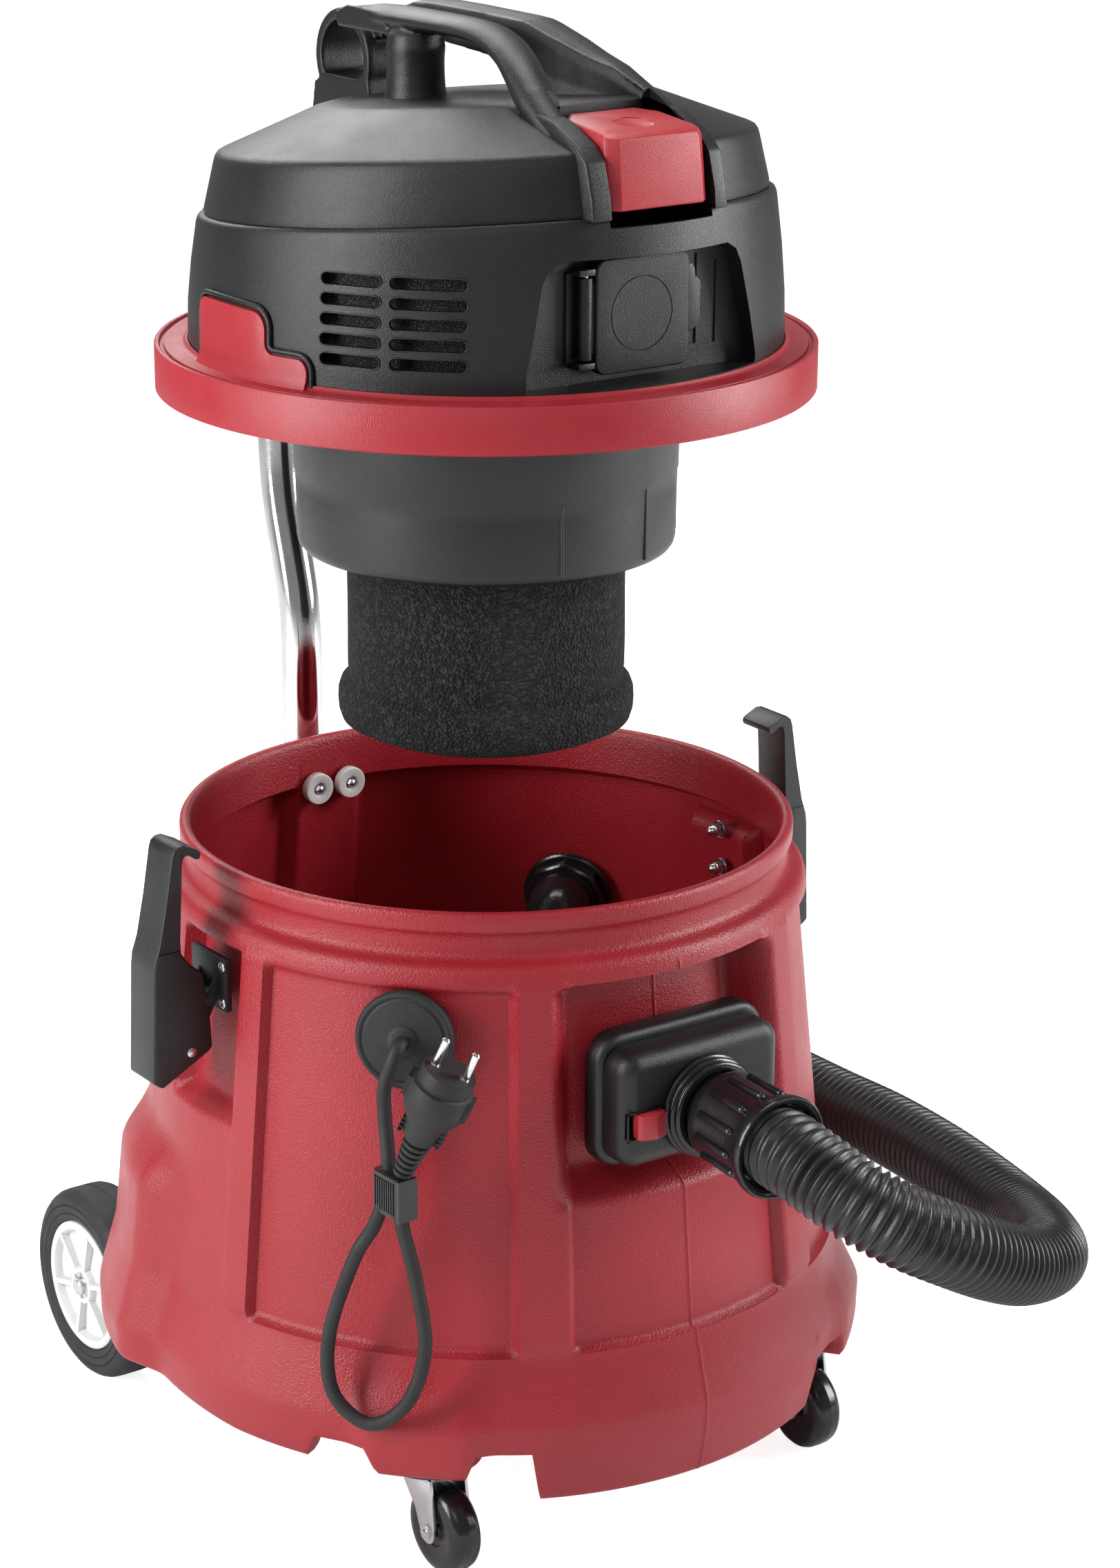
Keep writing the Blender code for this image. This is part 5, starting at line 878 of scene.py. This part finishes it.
def makeCastors():
    for name, side in (("left", -1), ("right", 1)):
        spot = Matrix.Translation((side * 0.140, -0.143 - 0.017, 0.028)) @ Matrix.Rotation(math.radians(90), 4, "Y")
        w = 0.0105
        wheel = Shape().turn([(0.0042, -w + 0.0024), (0.0095, -w + 0.0020), (0.0102, -w + 0.0012),
                              (0.0170, -w + 0.0006), (0.0196, -w + 0.0002),
                              (0.0228, -w + 0.0005), (0.0254, -w + 0.0018), (0.0271, -w + 0.0036),
                              (0.0279, -w + 0.0062),
                              (0.0280, -0.0004), (0.0281, 0.0), (0.0280, 0.0004), (0.0279, w - 0.0062),
                              (0.0271, w - 0.0036),
                              (0.0254, w - 0.0018), (0.0228, w - 0.0005), (0.0196, w - 0.0002), (0.0170, w - 0.0006),
                              (0.0102, w - 0.0012), (0.0095, w - 0.0020), (0.0042, w - 0.0024)], 96, True, matrix=spot)
        wheel.make("castorWheel" + name, "blackGloss", "castor_roller_" + name, "castor_wheel_" + name, 40)
        # pressed steel fork: crown, two tapering cheeks and the axle bolt
        fork = Shape()
        place = Matrix.Translation((side * 0.140, -0.143, 0))
        half, sheet, top = 0.0115, 0.0020, 0.0643
        crown = [(-half - sheet - 0.0004, -0.0180), (half + sheet + 0.0004, -0.0180), (half + sheet + 0.0020, 0.0080)]
        crown += arc(0, 0.004, half + sheet + 0.0020, 0, 180, 12) + [(-half - sheet - 0.0020, 0.0080)]
        fork.prism(crown, 0.0024, place @ Matrix.Translation((0, 0, top - 0.0024)))
        cheek = [(0.0135, top - 0.0005), (-0.0200, top - 0.0005), (-0.0215, 0.0560), (-0.0245, 0.0330)]
        cheek += arc(-0.017, 0.028, 0.0072, 160, 350, 10) + [(-0.0040, 0.0400), (0.0080, 0.0540)]
        for x in (-half - sheet, half):
            fork.prism(cheek, sheet, place @ Matrix.Translation((x, 0, 0)) @ sideways)
        fork.make("castorFork" + name, "zincPlate", "castor_" + name, "castor_fork_" + name, 35, (0.0006, 2))
        bolt = Shape()
        for s in (-1, 1):
            end = Matrix.Translation((side * 0.140 + s * (half + sheet), -0.160,
                                      0.028)) @ Matrix.Rotation(math.radians(90 * s), 4, "Y")
            bolt.turn([(0.0045, 0.0018), (0.0045, 0.0), (0.0001, 0.0)], 6, matrix=end)
            bolt.turn([(0.0001, 0.0030), (0.0022, 0.0028), (0.0026, 0.0018), (0.0045, 0.0018)], 24, matrix=end)
        bolt.rod((side * 0.140 - half, -0.160, 0.028), (side * 0.140 + half, -0.160, 0.028), 0.0028)
        bolt.rod((side * 0.140, -0.143, 0.0645), (side * 0.140, -0.143, 0.0560), 0.0050)
        bolt.make("castorBolt" + name, "zincPlate", "castor_" + name, (), 30)
        cover = Shape().turn([(0.0001, 0.0655), (0.0245, 0.0655), (0.0262, 0.0662), (0.0270, 0.0676), (0.0270, 0.0697),
                              (0.0001, 0.0697)], 64,
                             matrix=Matrix.Translation((side * 0.140, -0.143, 0)))
        cover.make("castorPlate" + name, "blackGloss", "tank", "castor_plate_" + name, 40)


# pump outlet inside the tank
def makeOutlet():
    angle, z = outlet["angle"], outlet["z"]
    out = wall(angle, 1.0)
    inner = outlet["radius"] - tank["wall"]
    inwards = Matrix.Translation(wall(angle, inner - 0.0050, z)) @ facing(angle + 180, -5.6)
    nut = Shape().turn([(0.0233, 0.0), (0.0300, 0.0), (0.0312, 0.0010), (0.0314, 0.0030), (0.0300, 0.0044),
                        (0.0292, 0.0046),
                        (0.0262, 0.0046), (0.0233, 0.0046)], 72, True, matrix=inwards)
    nut.turn([(0.0233, 0.0046), (0.0268, 0.0046), (0.0288, 0.0056), (0.0288, 0.0120), (0.0272, 0.0132),
              (0.0233, 0.0132)], 8, True,
             matrix=inwards)
    nut.make("outletNut", "blackGloss", "tank", "outlet_nut", 32)
    at = wall(angle, inner, z)
    bend = [at + out * r + Vector((0, 0, rise)) for r, rise in
            ((0.0095, 0), (0, 0), (-0.018, 0), (-0.028, -0.001), (-0.037, -0.005), (-0.0435, -0.012), (-0.047, -0.022),
             (-0.048, -0.034), (-0.048, -0.059))]
    pipe = Shape().sweep(bend, 0.0213, 40)
    ring = Matrix.Translation(at - out * 0.019) @ facing(angle + 180)
    pipe.turn([(0.0205, 0), (0.0228, 0), (0.0232, 0.0012), (0.0228, 0.0034), (0.0205, 0.0036)], 48, True, matrix=ring)
    pipe.make("outletElbow", "blackGloss", "tank", "outlet_elbow", 50)


makeInlet()
makeLatch(-1, "Left")
makeLatch(1, "Right")
makePushHandle()
makeWheels()
makeCastors()
makeOutlet()
print("tank fittings made")


# motor head
head = {"top": 0.723, "ringTop": 0.7172, "ringLow": 0.6895, "slope": 0.088, "stepZ": 0.8002, "creaseZ": 0.8350,
        "deckZ": 0.8600}


def leanForward(shape):
    shape.verts = [(x, y, z - head["slope"] * y * min(1.0, max(0.0, (z - head["top"]) / 0.077))) for x, y,
                   z in shape.verts]
    return shape


def deck(y):
    return head["deckZ"] - head["slope"] * y


# the lug's outline: (distance round the wall from the side's middle, height); forwards is negative
def lugLine(grow):
    g = grow
    line = [(0.0361 + g, 0.7130), (0.0361 + g, 0.7460 + g)] + arc(0.0261, 0.7460, 0.0100 + g, 0, 90, 8)
    line += arc(-0.0261, 0.7460, 0.0100 + g, 90, 180, 8) + arc(-0.0421, 0.7390, max(0.0060 - g, 0.002), 0, -90, 6)
    line += arc(-0.0605, 0.7260, 0.0070 + g, 90, 180, 6) + [(-0.0675 - g, 0.7130)]
    return line


def lugPoint(side, s, r, z):
    return wall(side * (90 + math.degrees(s / 0.180)), r, z)


def lugTool(grow):
    tool = Shape()
    line = lugLine(grow)
    for side in (-1, 1):
        rows = [[tuple(lugPoint(side, u, r, z)) for r,
                 z in ((0.160, 0.7120), (0.200, 0.7120), (0.200, v), (0.160, v))] for u, v in line]
        tool.grid(rows, True, None, True, True)
    return tool.make("lugTool", "redHousing")


def makeRing():
    z = head["ringTop"]
    ring = Shape().turn([(0.1945, head["ringLow"] + 0.0002), (0.1983, head["ringLow"]),
                         (0.1990, head["ringLow"] + 0.0007), (0.1990, z - 0.0008), (0.1984, z), (0.1964, z),
                         (0.1957, z - 0.0007), (0.1953, z - 0.0022), (0.1934, z - 0.0022), (0.1930, z - 0.0004),
                         (0.1830, z - 0.0004),
                         (0.1815, z), (0.1806, z + 0.0012), (0.1800, z + 0.0020), (0.1791, z + 0.0020),
                         (0.1791, z - 0.0015),
                         (0.106, z - 0.0015), (0.106, z - 0.0050), (0.1800, z - 0.0050), (0.1806, z - 0.0012),
                         (0.1922, z - 0.0012),
                         (0.1926, z - 0.0030), (0.1945, z - 0.0030)], 192, True)
    ring.make("headRing", "redHousing", "motor_head", "head_base", 40)
    # the rim's soft seal sits under the ring's plate
    seal = Shape().turn([(0.1816, z - 0.0016), (0.1818, z - 0.0013), (0.1916, z - 0.0013), (0.1918, z - 0.0016),
                         (0.1912, z - 0.0019),
                         (0.1822, z - 0.0019)], 160, True)
    seal.make("rimSeal", "blackRubber", "motor_head", "rim_seal", 50)
    lugs = Shape()
    for side in (-1, 1):
        outline = [(0.1725, 0.713), (0.1856, z - 0.0024), (0.1832, z + 0.0006), (0.1818, z + 0.0040),
                   (0.1809, z + 0.0070),
                   (0.1806, 0.7600), (0.1725, 0.7600)]
        lugs.turn(outline, 48, True, 38, (side * 87 - 19) - 90)
    obj = lugs.make("headLugs", "redHousing")
    cut(obj, lugTool(0.0), "INTERSECT")
    soften(obj, 0.0010, 2, 60)
    shade(obj, 40)
    attach(obj, "motor_head")


def socketOutline(grow=0.0):
    g = grow
    pts = [(-0.082 - g, 0.7195 - g), (0.078 + g, 0.7195 - g), (0.0785 + g, 0.7240), (0.0640 + g, 0.7800),
           (0.0600 + g, 0.7880 + g * 0.7),
           (0.0520 + g * 0.7, 0.7925 + g), (-0.0580 - g * 0.7, 0.7925 + g), (-0.0640 - g * 0.9, 0.7905 + g),
           (-0.0690 - g, 0.7860 + g * 0.8),
           (-0.0725 - g, 0.7790 + g * 0.4), (-0.0820 - g, 0.7300)]
    return pts


def frontSlab(outline, near, far):
    return Shape().prism(outline, far - near, Matrix.Translation((0, far, 0)) @ upright)


grille = {"rows": 5, "low": 0.7355, "step": 0.0112, "height": 0.0066, "columns": ((-60.0, 0.037), (-45.0, 0.044))}
button = {"x": 0.0035, "low": 0.8172, "front": -0.1690, "bayWidth": 0.0724, "bayY": -0.1525, "bayLow": 0.8095}


# each slot's angle, height and outline, grown a little where it is for the lip round it
def slotOutlines(grow):
    for row in range(grille["rows"]):
        for centre, length in grille["columns"]:
            half, r = (length - grille["height"]) / 2, grille["height"] / 2 + grow
            pill = arc(half, 0, r, -90, 90, 10) + arc(-half, 0, r, 90, 270, 10)
            yield centre, grille["low"] + grille["step"] * row, pill


# the room the button slides in
def buttonBay(height):
    return Shape().block((button["bayWidth"], 0.092, height),
                         (button["x"], button["bayY"], button["bayLow"] + height / 2))


def makeLowerShell():
    base, step = 0.7158, head["stepZ"]
    outer = [(0.1785, base), (0.1786, base + 0.010), (0.1780, 0.7450), (0.1757, 0.7700), (0.1722, 0.7955),
             (0.1715, 0.7980),
             (0.1707, 0.7994), (0.1695, step)]
    shell = leanForward(Shape().turn([(0.1755, base)] + outer + [(0.1600, step), (0.1600, step - 0.003),
                                                                 (0.1685, step - 0.0045),
                                                                 (0.1727, 0.7700), (0.1750, 0.7450)], 240, True))
    obj = shell.make("lowerShell", "blackHousing")
    tub = frontSlab(socketOutline(0.003), -0.200, -0.1465).make("tubTool", "blackHousing")
    solid = leanForward(Shape().turn([(0.0001, base)] + [(r - 0.0004, z) for r, z in outer] + [(0.0001, step)], 240))
    cut(tub, solid.make("solidTool", "blackHousing"), "INTERSECT")
    cut(obj, tub, "UNION")
    cut(obj, frontSlab(socketOutline(), -0.230, -0.1500).make("recessTool", "blackHousing"))
    slots = Shape()
    for centre, z, pill in slotOutlines(0.0):
        slots.prism(pill, 0.04, Matrix.Translation(wall(centre, 0.1535, z)) @ facing(centre))
    cut(obj, slots.make("slotTool", "blackHousing", weld=False))
    cut(obj, lugTool(0.0012))
    cut(obj, Shape().block((button["bayWidth"], 0.050, 0.030), (button["x"], -0.1700, 0.8238)).make("slotTool",
        "blackHousing"))
    shade(obj, 34)
    attach(obj, "motor_head", "head_lower_shell")
    # raised lips: round each slot and round the notch for the lug
    lips = Shape()
    for centre, z, pill in slotOutlines(0.0004):
        r = 0.1785 - max(0.0, z - 0.745) * 0.092
        line = [wall(centre + math.degrees(x / r), r + 0.0001, z + y) for x, y in pill]
        lips.sweep(line + [line[0]], 0.00045, 8, side=(0, 0, 1), caps=False)
    lips.make("slotLips", "blackHousing", "motor_head", (), 60)
    flange = Shape()
    for side in (-1, 1):
        line = [lugPoint(side, u, 0.1796 - 0.0010 * smooth(0.735, 0.760, v), v) for u,
                v in lugLine(0.0028) if v > 0.7135]
        line = [lugPoint(side, 0.0389, 0.1798, 0.7158)] + line + [lugPoint(side, -0.0703, 0.1798, 0.7158)]
        flange.sweep(line, 0.0016, 12, side=(0, 0, 1))
    flange.make("notchLips", "blackHousing", "motor_head", (), 60)


def makeUpperShell():
    step = head["stepZ"]
    shell = leanForward(Shape().turn([(0.1630, step), (0.1672, step + 0.0003), (0.1672, step + 0.004), (0.1612, 0.8300),
                                      (0.1602, 0.8335),
                                      (0.1586, 0.8358), (0.1560, 0.8372), (0.1010, 0.8588), (0.0960, 0.8600),
                                      (0.0900, 0.8601),
                                      (0.0004, 0.8601), (0.0004, 0.8570), (0.1550, 0.8335)], 240, True))
    obj = shell.make("upperShell", "blackHousing")
    panel = Shape()
    side = [(-0.1705, 0.8130), (-0.1690, 0.8250), (-0.1630, 0.8450), (-0.1540, 0.8530), (-0.1300, 0.8640),
            (-0.1000, 0.8690),
            (-0.0600, 0.8655), (-0.0600, 0.8300), (-0.1500, 0.8130)]
    panel.prism(side, 0.094, Matrix.Translation((-0.0455, 0, 0)) @ sideways)
    lump = panel.make("panelTool", "blackHousing", bevel=(0.0016, 3))
    cut(obj, lump, "UNION")
    cut(obj, buttonBay(0.070).make("bayTool", "blackHousing"))
    shade(obj, 30)
    attach(obj, "motor_head", "head_upper_shell")
    # button: a wedge-topped key with chamfered sides and a plain oval dip on top
    low, front = button["low"], button["front"]
    rows = []
    for z, w, y0, y1 in ((low, 0.0340, front + 0.0010, front + 0.058), (low + 0.0010, 0.0345, front, front + 0.0585),
                         (low + 0.0360, 0.0338, front + 0.0045, front + 0.0590),
                         (low + 0.0388, 0.0330, front + 0.0056, front + 0.0590),
                         (low + 0.0403, 0.0315, front + 0.0085, front + 0.0585),
                         (low + 0.0410, 0.0298, front + 0.0115, front + 0.0575)):
        c, r = 0.0060, 0.0014
        rows.append([(-w + c, y0, z), (w - c, y0, z), (w - r, y0 + c * 0.62, z), (w, y0 + c * 0.62 + 0.0020, z),
                     (w, y1 - 0.012, z),
                     (w * 0.72, y1, z), (-w * 0.72, y1, z), (-w, y1 - 0.012, z), (-w, y0 + c * 0.62 + 0.0020, z),
                     (-w + r, y0 + c * 0.62, z)])
    lift = [[(x + button["x"], y, z + 0.100 * max(0.0, y - front) * smooth(low + 0.030, low + 0.041, z)) for x, y,
             z in row] for row in rows]
    key = Shape().grid(lift, True, None, True, True).make("switchButton", "redKnob", bevel=(0.0009, 3), sharp=30)
    dip = Shape().turn([(0.0001, 0.0), (0.0105, 0.0), (0.0118, 0.0006), (0.0124, 0.0030), (0.0001, 0.0030)], 48,
                       matrix=Matrix.Translation((button["x"], -0.1400,
                                                  low + 0.0427)) @ Matrix.Rotation(math.radians(5.7), 4, "X"))
    cut(key, dip.make("dipTool", "redKnob"))
    shade(key, 30)
    attach(key, "button", "switch_button")


# grip, its post, the fairing at the right of the trough and the eye at the back, blended into one moulding
def makeHandle():
    s = Shape()
    grip = ((0.092, 0.9000, 0.0110, 0.0050), (0.080, 0.9005, 0.0132, 0.0064), (0.060, 0.9012, 0.0152, 0.0068),
            (0.040, 0.9016, 0.0155, 0.0066),
            (0.015, 0.9018, 0.0152, 0.0064), (-0.010, 0.9016, 0.0148, 0.0064), (-0.032, 0.9002, 0.0142, 0.0064),
            (-0.052, 0.8962, 0.0134, 0.0068), (-0.070, 0.8900, 0.0126, 0.0072), (-0.086, 0.8805, 0.0124, 0.0088),
            (-0.100, 0.8700, 0.0124, 0.0100), (-0.120, 0.8575, 0.0108, 0.0088), (-0.145, 0.8440, 0.0096, 0.0080))
    path = [(-0.0215 - 0.0145 * smooth(0.03, 0.12, -y), y, z) for y, z, a, b in grip]
    fine, _ = curveThrough(path, 0.004)
    sizes = [(between(-p.y, [(-y, a) for y, z, a, b in grip]),
              between(-p.y, [(-y, b) for y, z, a, b in grip])) for p in fine]
    s.sweep(fine, lambda k: sizes[k], 32)
    s.sweep([(-0.0225, 0.041, z) for z in (0.848, 0.856, 0.862, 0.870, 0.878, 0.886, 0.893, 0.900)],
            lambda k: (0.0200, 0.0188, 0.0178, 0.0173, 0.0172, 0.0178, 0.0165, 0.0120)[k], 40, side=(1, 0, 0))
    # fairing: sections along y, each from the outer foot over the ridge to the trough
    rows = []
    for y, ridge, foot in ((0.124, 0.899, 0.030), (0.110, 0.9035, 0.031), (0.090, 0.9045, 0.032),
                           (0.060, 0.9045, 0.033), (0.030, 0.9040, 0.034),
                           (0.018, 0.9038, 0.035), (0.006, 0.9036, 0.036), (-0.006, 0.9030, 0.036),
                           (-0.014, 0.9015, 0.037),
                           (-0.022, 0.8995, 0.038), (-0.030, 0.8975, 0.039), (-0.040, 0.8950, 0.040),
                           (-0.060, 0.8890, 0.042),
                           (-0.080, 0.8840, 0.0435), (-0.100, 0.8760, 0.045), (-0.118, 0.8690, 0.046),
                           (-0.136, 0.8590, 0.046)):
        floor = between(y, ((-0.034, min(0.848, deck(y) - 0.010)), (-0.022, 0.8530), (-0.006, 0.8700), (0.018, 0.8790),
                            (0.050, 0.8815),
                            (0.130, 0.8850)))
        inner = 0.0200 + 0.016 * (1 - smooth(-0.130, -0.02, y))
        rows.append([(0.058, y, floor), (0.0575, y, floor + (ridge - floor) * 0.30),
                     (0.0530, y, floor + (ridge - floor) * 0.62),
                     (0.0490, y, ridge - 0.0060), (0.0450, y, ridge - 0.0012), (0.0400, y, ridge), (0.0330, y, ridge),
                     (inner + 0.002, y, ridge - 0.0010), (inner, y, ridge - 0.0060),
                     (inner + 0.001, y, floor + (ridge - floor) * 0.50),
                     (inner - 0.003, y, floor)])
    s.grid(rows, True, None, True, True)
    s.prism([(0.094, 0.8840), (0.122, 0.8840), (0.122, 0.8960), (0.094, 0.8960)], 0.046,
            Matrix.Translation((-0.012, 0, 0)) @ sideways)
    # eye at the back for the hose's end: a ring on a broad foot
    centre = Vector((-0.002, 0.130, 0.8690))
    turn = Matrix.Translation(centre) @ Matrix.Rotation(math.radians(90), 4, "Y")
    s.turn([(0.0235, -0.0160), (0.0300, -0.0160), (0.0306, -0.0140), (0.0306, 0.0140), (0.0300, 0.0160),
            (0.0235, 0.0160)], 64, True, matrix=turn)
    s.prism([(0.098, 0.835), (0.166, 0.830), (0.162, 0.852), (0.150, 0.858), (0.114, 0.858), (0.102, 0.866)], 0.032,
            Matrix.Translation((-0.018, 0, 0)) @ sideways)
    s.prism([(0.050, 0.892), (0.108, 0.892), (0.112, 0.900), (0.098, 0.9055), (0.060, 0.9050)], 0.0030,
            Matrix.Translation((-0.0350, 0, 0)) @ sideways)
    obj = s.make("carryHandle", "blackHousing", sharp=60, weld=False)
    mod = obj.modifiers.new("blend", "REMESH")
    mod.mode, mod.voxel_size = "VOXEL", 0.0011
    settle(obj)
    mod = obj.modifiers.new("ease", "SMOOTH")
    mod.factor, mod.iterations = 0.5, 5
    settle(obj)
    floor = Shape().turn([(0.0001, 0.80), (0.158, 0.80), (0.158, 0.8325), (0.0955, 0.8560), (0.0001, 0.8570)], 96)
    cut(obj, leanForward(floor).make("floorTool", "blackHousing"))
    cut(obj, buttonBay(0.110).make("bayTool2", "blackHousing"))
    obj.data.materials.clear()
    obj.data.materials.append(finishes["blackHousing"])
    shade(obj, 50)
    attach(obj, "motor_head", ("carry_handle", "hose_rest"))


def makeSocket():
    plate = Shape()
    z0, x0, y0 = 0.7572, -0.0025, -0.1500
    at = Matrix.Translation((x0, y0 - 0.0001, z0)) @ facing(0)
    plate.turn([(0.0185, -0.0020), (0.0185, 0.0012), (0.0192, 0.0018), (0.0212, 0.0018), (0.0220, 0.0010),
                (0.0220, -0.0020)], 64, True, matrix=at)
    plate.block((0.0008, 0.0012, 0.0520), (0.0420, y0 - 0.0004, z0 + 0.002))
    plate.block((0.0008, 0.0012, 0.0480), (0.0560, y0 - 0.0004, z0 - 0.001))
    for z in (z0 - 0.0265, z0 + 0.0265):
        plate.block((0.0110, 0.0105, 0.0036), (-0.0415, y0 - 0.0050, z))
    plate.block((0.0050, 0.0022, 0.0520), (-0.0478, y0 - 0.0010, z0))
    plate.make("socketPlate", "blackHousing", "motor_head", "socket_plate", 35, (0.0005, 2))
    lid = cushion(0.0650, 0.0655, 0.0065, 0.0065, 0.0012, Matrix.Translation((x0, -0.1535, z0)) @ facing(0), 4)
    # round panel line, finger tab at the free edge, hinge barrel
    obj = lid.make("socketLid", "blackHousing", sharp=50)
    line = Shape().turn([(0.0209, -0.001), (0.0215, -0.001), (0.0215, 0.0008), (0.0209, 0.0008)], 96, True,
                        matrix=Matrix.Translation((x0 - 0.001, -0.1600, z0)) @ facing(0))
    cut(obj, line.make("lineTool", "blackHousing"))
    shade(obj, 35)
    attach(obj, "lid", "socket_lid")
    bits = Shape()
    tab = [(0.0265, 0.7420), (0.0330, 0.7425), (0.0365, 0.7460), (0.0385, 0.7500), (0.0390, 0.7700), (0.0370, 0.7725),
           (0.0350, 0.7740),
           (0.0345, 0.7790), (0.0320, 0.7815), (0.0265, 0.7820)]
    piece = frontSlab(tab, -0.1590, -0.1545)
    bits.add(piece.verts, piece.faces)
    bits.rod((-0.0405, -0.1562, z0 - 0.0235), (-0.0405, -0.1562, z0 + 0.0235), 0.0042, 28)
    bits.block((0.0100, 0.0034, 0.0400), (-0.0360, -0.1562, z0))
    bits.make("lidTab", "blackHousing", "lid", (), 38, (0.0006, 2))


def makePotAndFilter():
    low, plateZ, r = 0.5910, 0.7180, 0.118
    pot = Shape().turn([(r, plateZ - 0.0003), (r - 0.0006, 0.6870), (r - 0.0012, 0.6400), (r - 0.0017, 0.6392),
                        (r - 0.0020, 0.6300),
                        (r - 0.0024, 0.5975), (r - 0.0032, 0.5940), (r - 0.0048, 0.5918), (r - 0.0070, low),
                        (0.0560, low),
                        (0.0560, low + 0.003), (r - 0.0080, low + 0.0030), (r - 0.0050, 0.6300),
                        (r - 0.0035, plateZ - 0.0003)], 192, True)
    for angle in (-12.0, 20.0, 60.0):
        pot.sweep([wall(angle, 0.1158, z) for z in (0.5960, 0.6390)], 0.0010, 8)
    pot.make("motorPot", "blackHousing", "motor_head", "motor_pot", 40)
    top, base, roll = low - 0.0003, 0.4737, 0.0064
    f = 0.0853
    outline = [(0.0001, base), (f - 0.016, base), (f - 0.010, base + 0.0010), (f - 0.004, base + 0.0034),
               (f + roll - 0.0022, base + 0.0075),
               (f + roll - 0.0004, base + 0.0130), (f + roll, base + 0.0190), (f + roll - 0.0004, base + 0.0245),
               (f + roll - 0.0020, base + 0.0290), (f + roll * 0.2, base + 0.0318), (f - 0.0006, base + 0.0332),
               (f - 0.0004, base + 0.0360)]
    outline += [(f, base + 0.040 + 0.004 * k) for k in range(20) if base + 0.040 + 0.004 * k < top - 0.001] + [(f, top),
        (f - 0.010, top)]
    foam = Shape().turn(outline + [(f - 0.010, base + 0.010), (0.0001, base + 0.010)], 220)
    rng = random.Random(7)
    wobble = [(rng.uniform(0, 6.28), rng.uniform(0, 6.28), rng.randint(2, 9), rng.uniform(20, 90)) for _ in range(10)]
    lumps = []
    for x, y, z in foam.verts:
        d = math.hypot(x, y)
        if d > 0.07:
            a = math.atan2(y, x)
            push = sum(math.sin(n * a + p) * math.sin(w * z + q) for p, q, n, w in wobble) * 0.00013
            x, y = x * (1 + push / d), y * (1 + push / d)
        lumps.append((x, y, z))
    foam.verts = lumps
    foam.make("foamFilter", "openFoam", "motor_head", "foam_filter", 60)


makeRing()
makeLowerShell()
makeUpperShell()
makeHandle()
makeSocket()
makePotAndFilter()
print("motor head made")


# CAD nodes that stay in view take a made finish
kept = {"blackBracket": ("handle_clamp", "switch_block", "pump_strainer", "pump_housing", "filter_cage",
                         "bearing_bracket"),
        "blackRubber": ("pump_riser_hose", "mains_gland"),
        "zincPlate": ("latch_pin_left", "latch_pin_right", "rear_axle", "lid_pin"),
        "grilleFoam": ("vent_foam",), "whiteHub": ("float_ball",),
        "castMetal": ("fan_case", "motor_stator", "motor_rotor", "pump_impeller")}
for finish, names in kept.items():
    for n in names:
        nodes[n].data.materials.clear()
        nodes[n].data.materials.append(finishes[finish])


# pale floor and soft light
studio = {"floor": (0.94, 0.94, 0.94), "world": 0.24, "glow": 0.84,
          "lamps": (("left", (-2.3, 0.3, 1.3), (0.8, 1.9), 62), ("right", (2.0, -1.3, 1.3), (0.8, 1.7), 62),
                    ("front", (-1.5, -1.9, 2.2), (1.2, 1.0), 9), ("back", (0.4, 2.0, 1.9), (1.6, 0.8), 22),
                    ("top", (0.2, 0.5, 2.7), (1.2, 1.2), 26))}


def makeStudio():
    f = Finish("studioFloor", Roughness=0.95, Emission_Strength=studio["glow"])
    f.colour(f.noise(3, 2.0), tuple(c * 0.985 for c in studio["floor"]), studio["floor"])
    seen = f.node("ShaderNodeLightPath", {}, {}, "Is Camera Ray")
    f.feed("Emission Color", f.node("ShaderNodeMix", {"data_type": "RGBA"}, {0: seen, 6: (0, 0, 0, 1), 7: (1, 1, 1, 1)},
                                    2))
    finishes["studioFloor"] = f.mat
    mesh = bpy.data.meshes.new("studioFloor")
    mesh.from_pydata([(-8, -8, 0), (8, -8, 0), (8, 8, 0), (-8, 8, 0)], [], [(0, 1, 2, 3)])
    mesh.materials.append(f.mat)
    floor = bpy.data.objects.new("studioFloor", mesh)
    floor.location.z = -0.0002
    scene.collection.objects.link(floor)
    world = bpy.data.worlds.new("studio")
    world.use_nodes = True
    room = Nodes(world.node_tree)
    room.tree.nodes.remove(room.tree.nodes["Background"])
    # the room looks white, and lights the machine more softly than that
    dim, bright = (room.node("ShaderNodeBackground", {}, {"Color": (1, 1, 1, 1), "Strength": power})
                   for power in (studio["world"], 1.0))
    seen = room.node("ShaderNodeLightPath", {}, {}, "Is Camera Ray")
    mixed = room.node("ShaderNodeMixShader", {}, {0: seen, 1: dim, 2: bright})
    room.tree.links.new(mixed.out, room.tree.nodes["World Output"].inputs["Surface"])
    scene.world = world
    for name, place, size, power in studio["lamps"]:
        data = bpy.data.lights.new(name, "AREA")
        data.shape, data.size, data.size_y, data.energy = "RECTANGLE", size[0], size[1], power
        lamp = bpy.data.objects.new(name, data)
        lamp.location = place
        lamp.rotation_euler = (Vector(place) - Vector((0, 0, 0.45))).to_track_quat("Z", "Y").to_euler()
        scene.collection.objects.link(lamp)
    scene.view_settings.view_transform = "Standard"
    scene.view_settings.look = "None"


makeStudio()
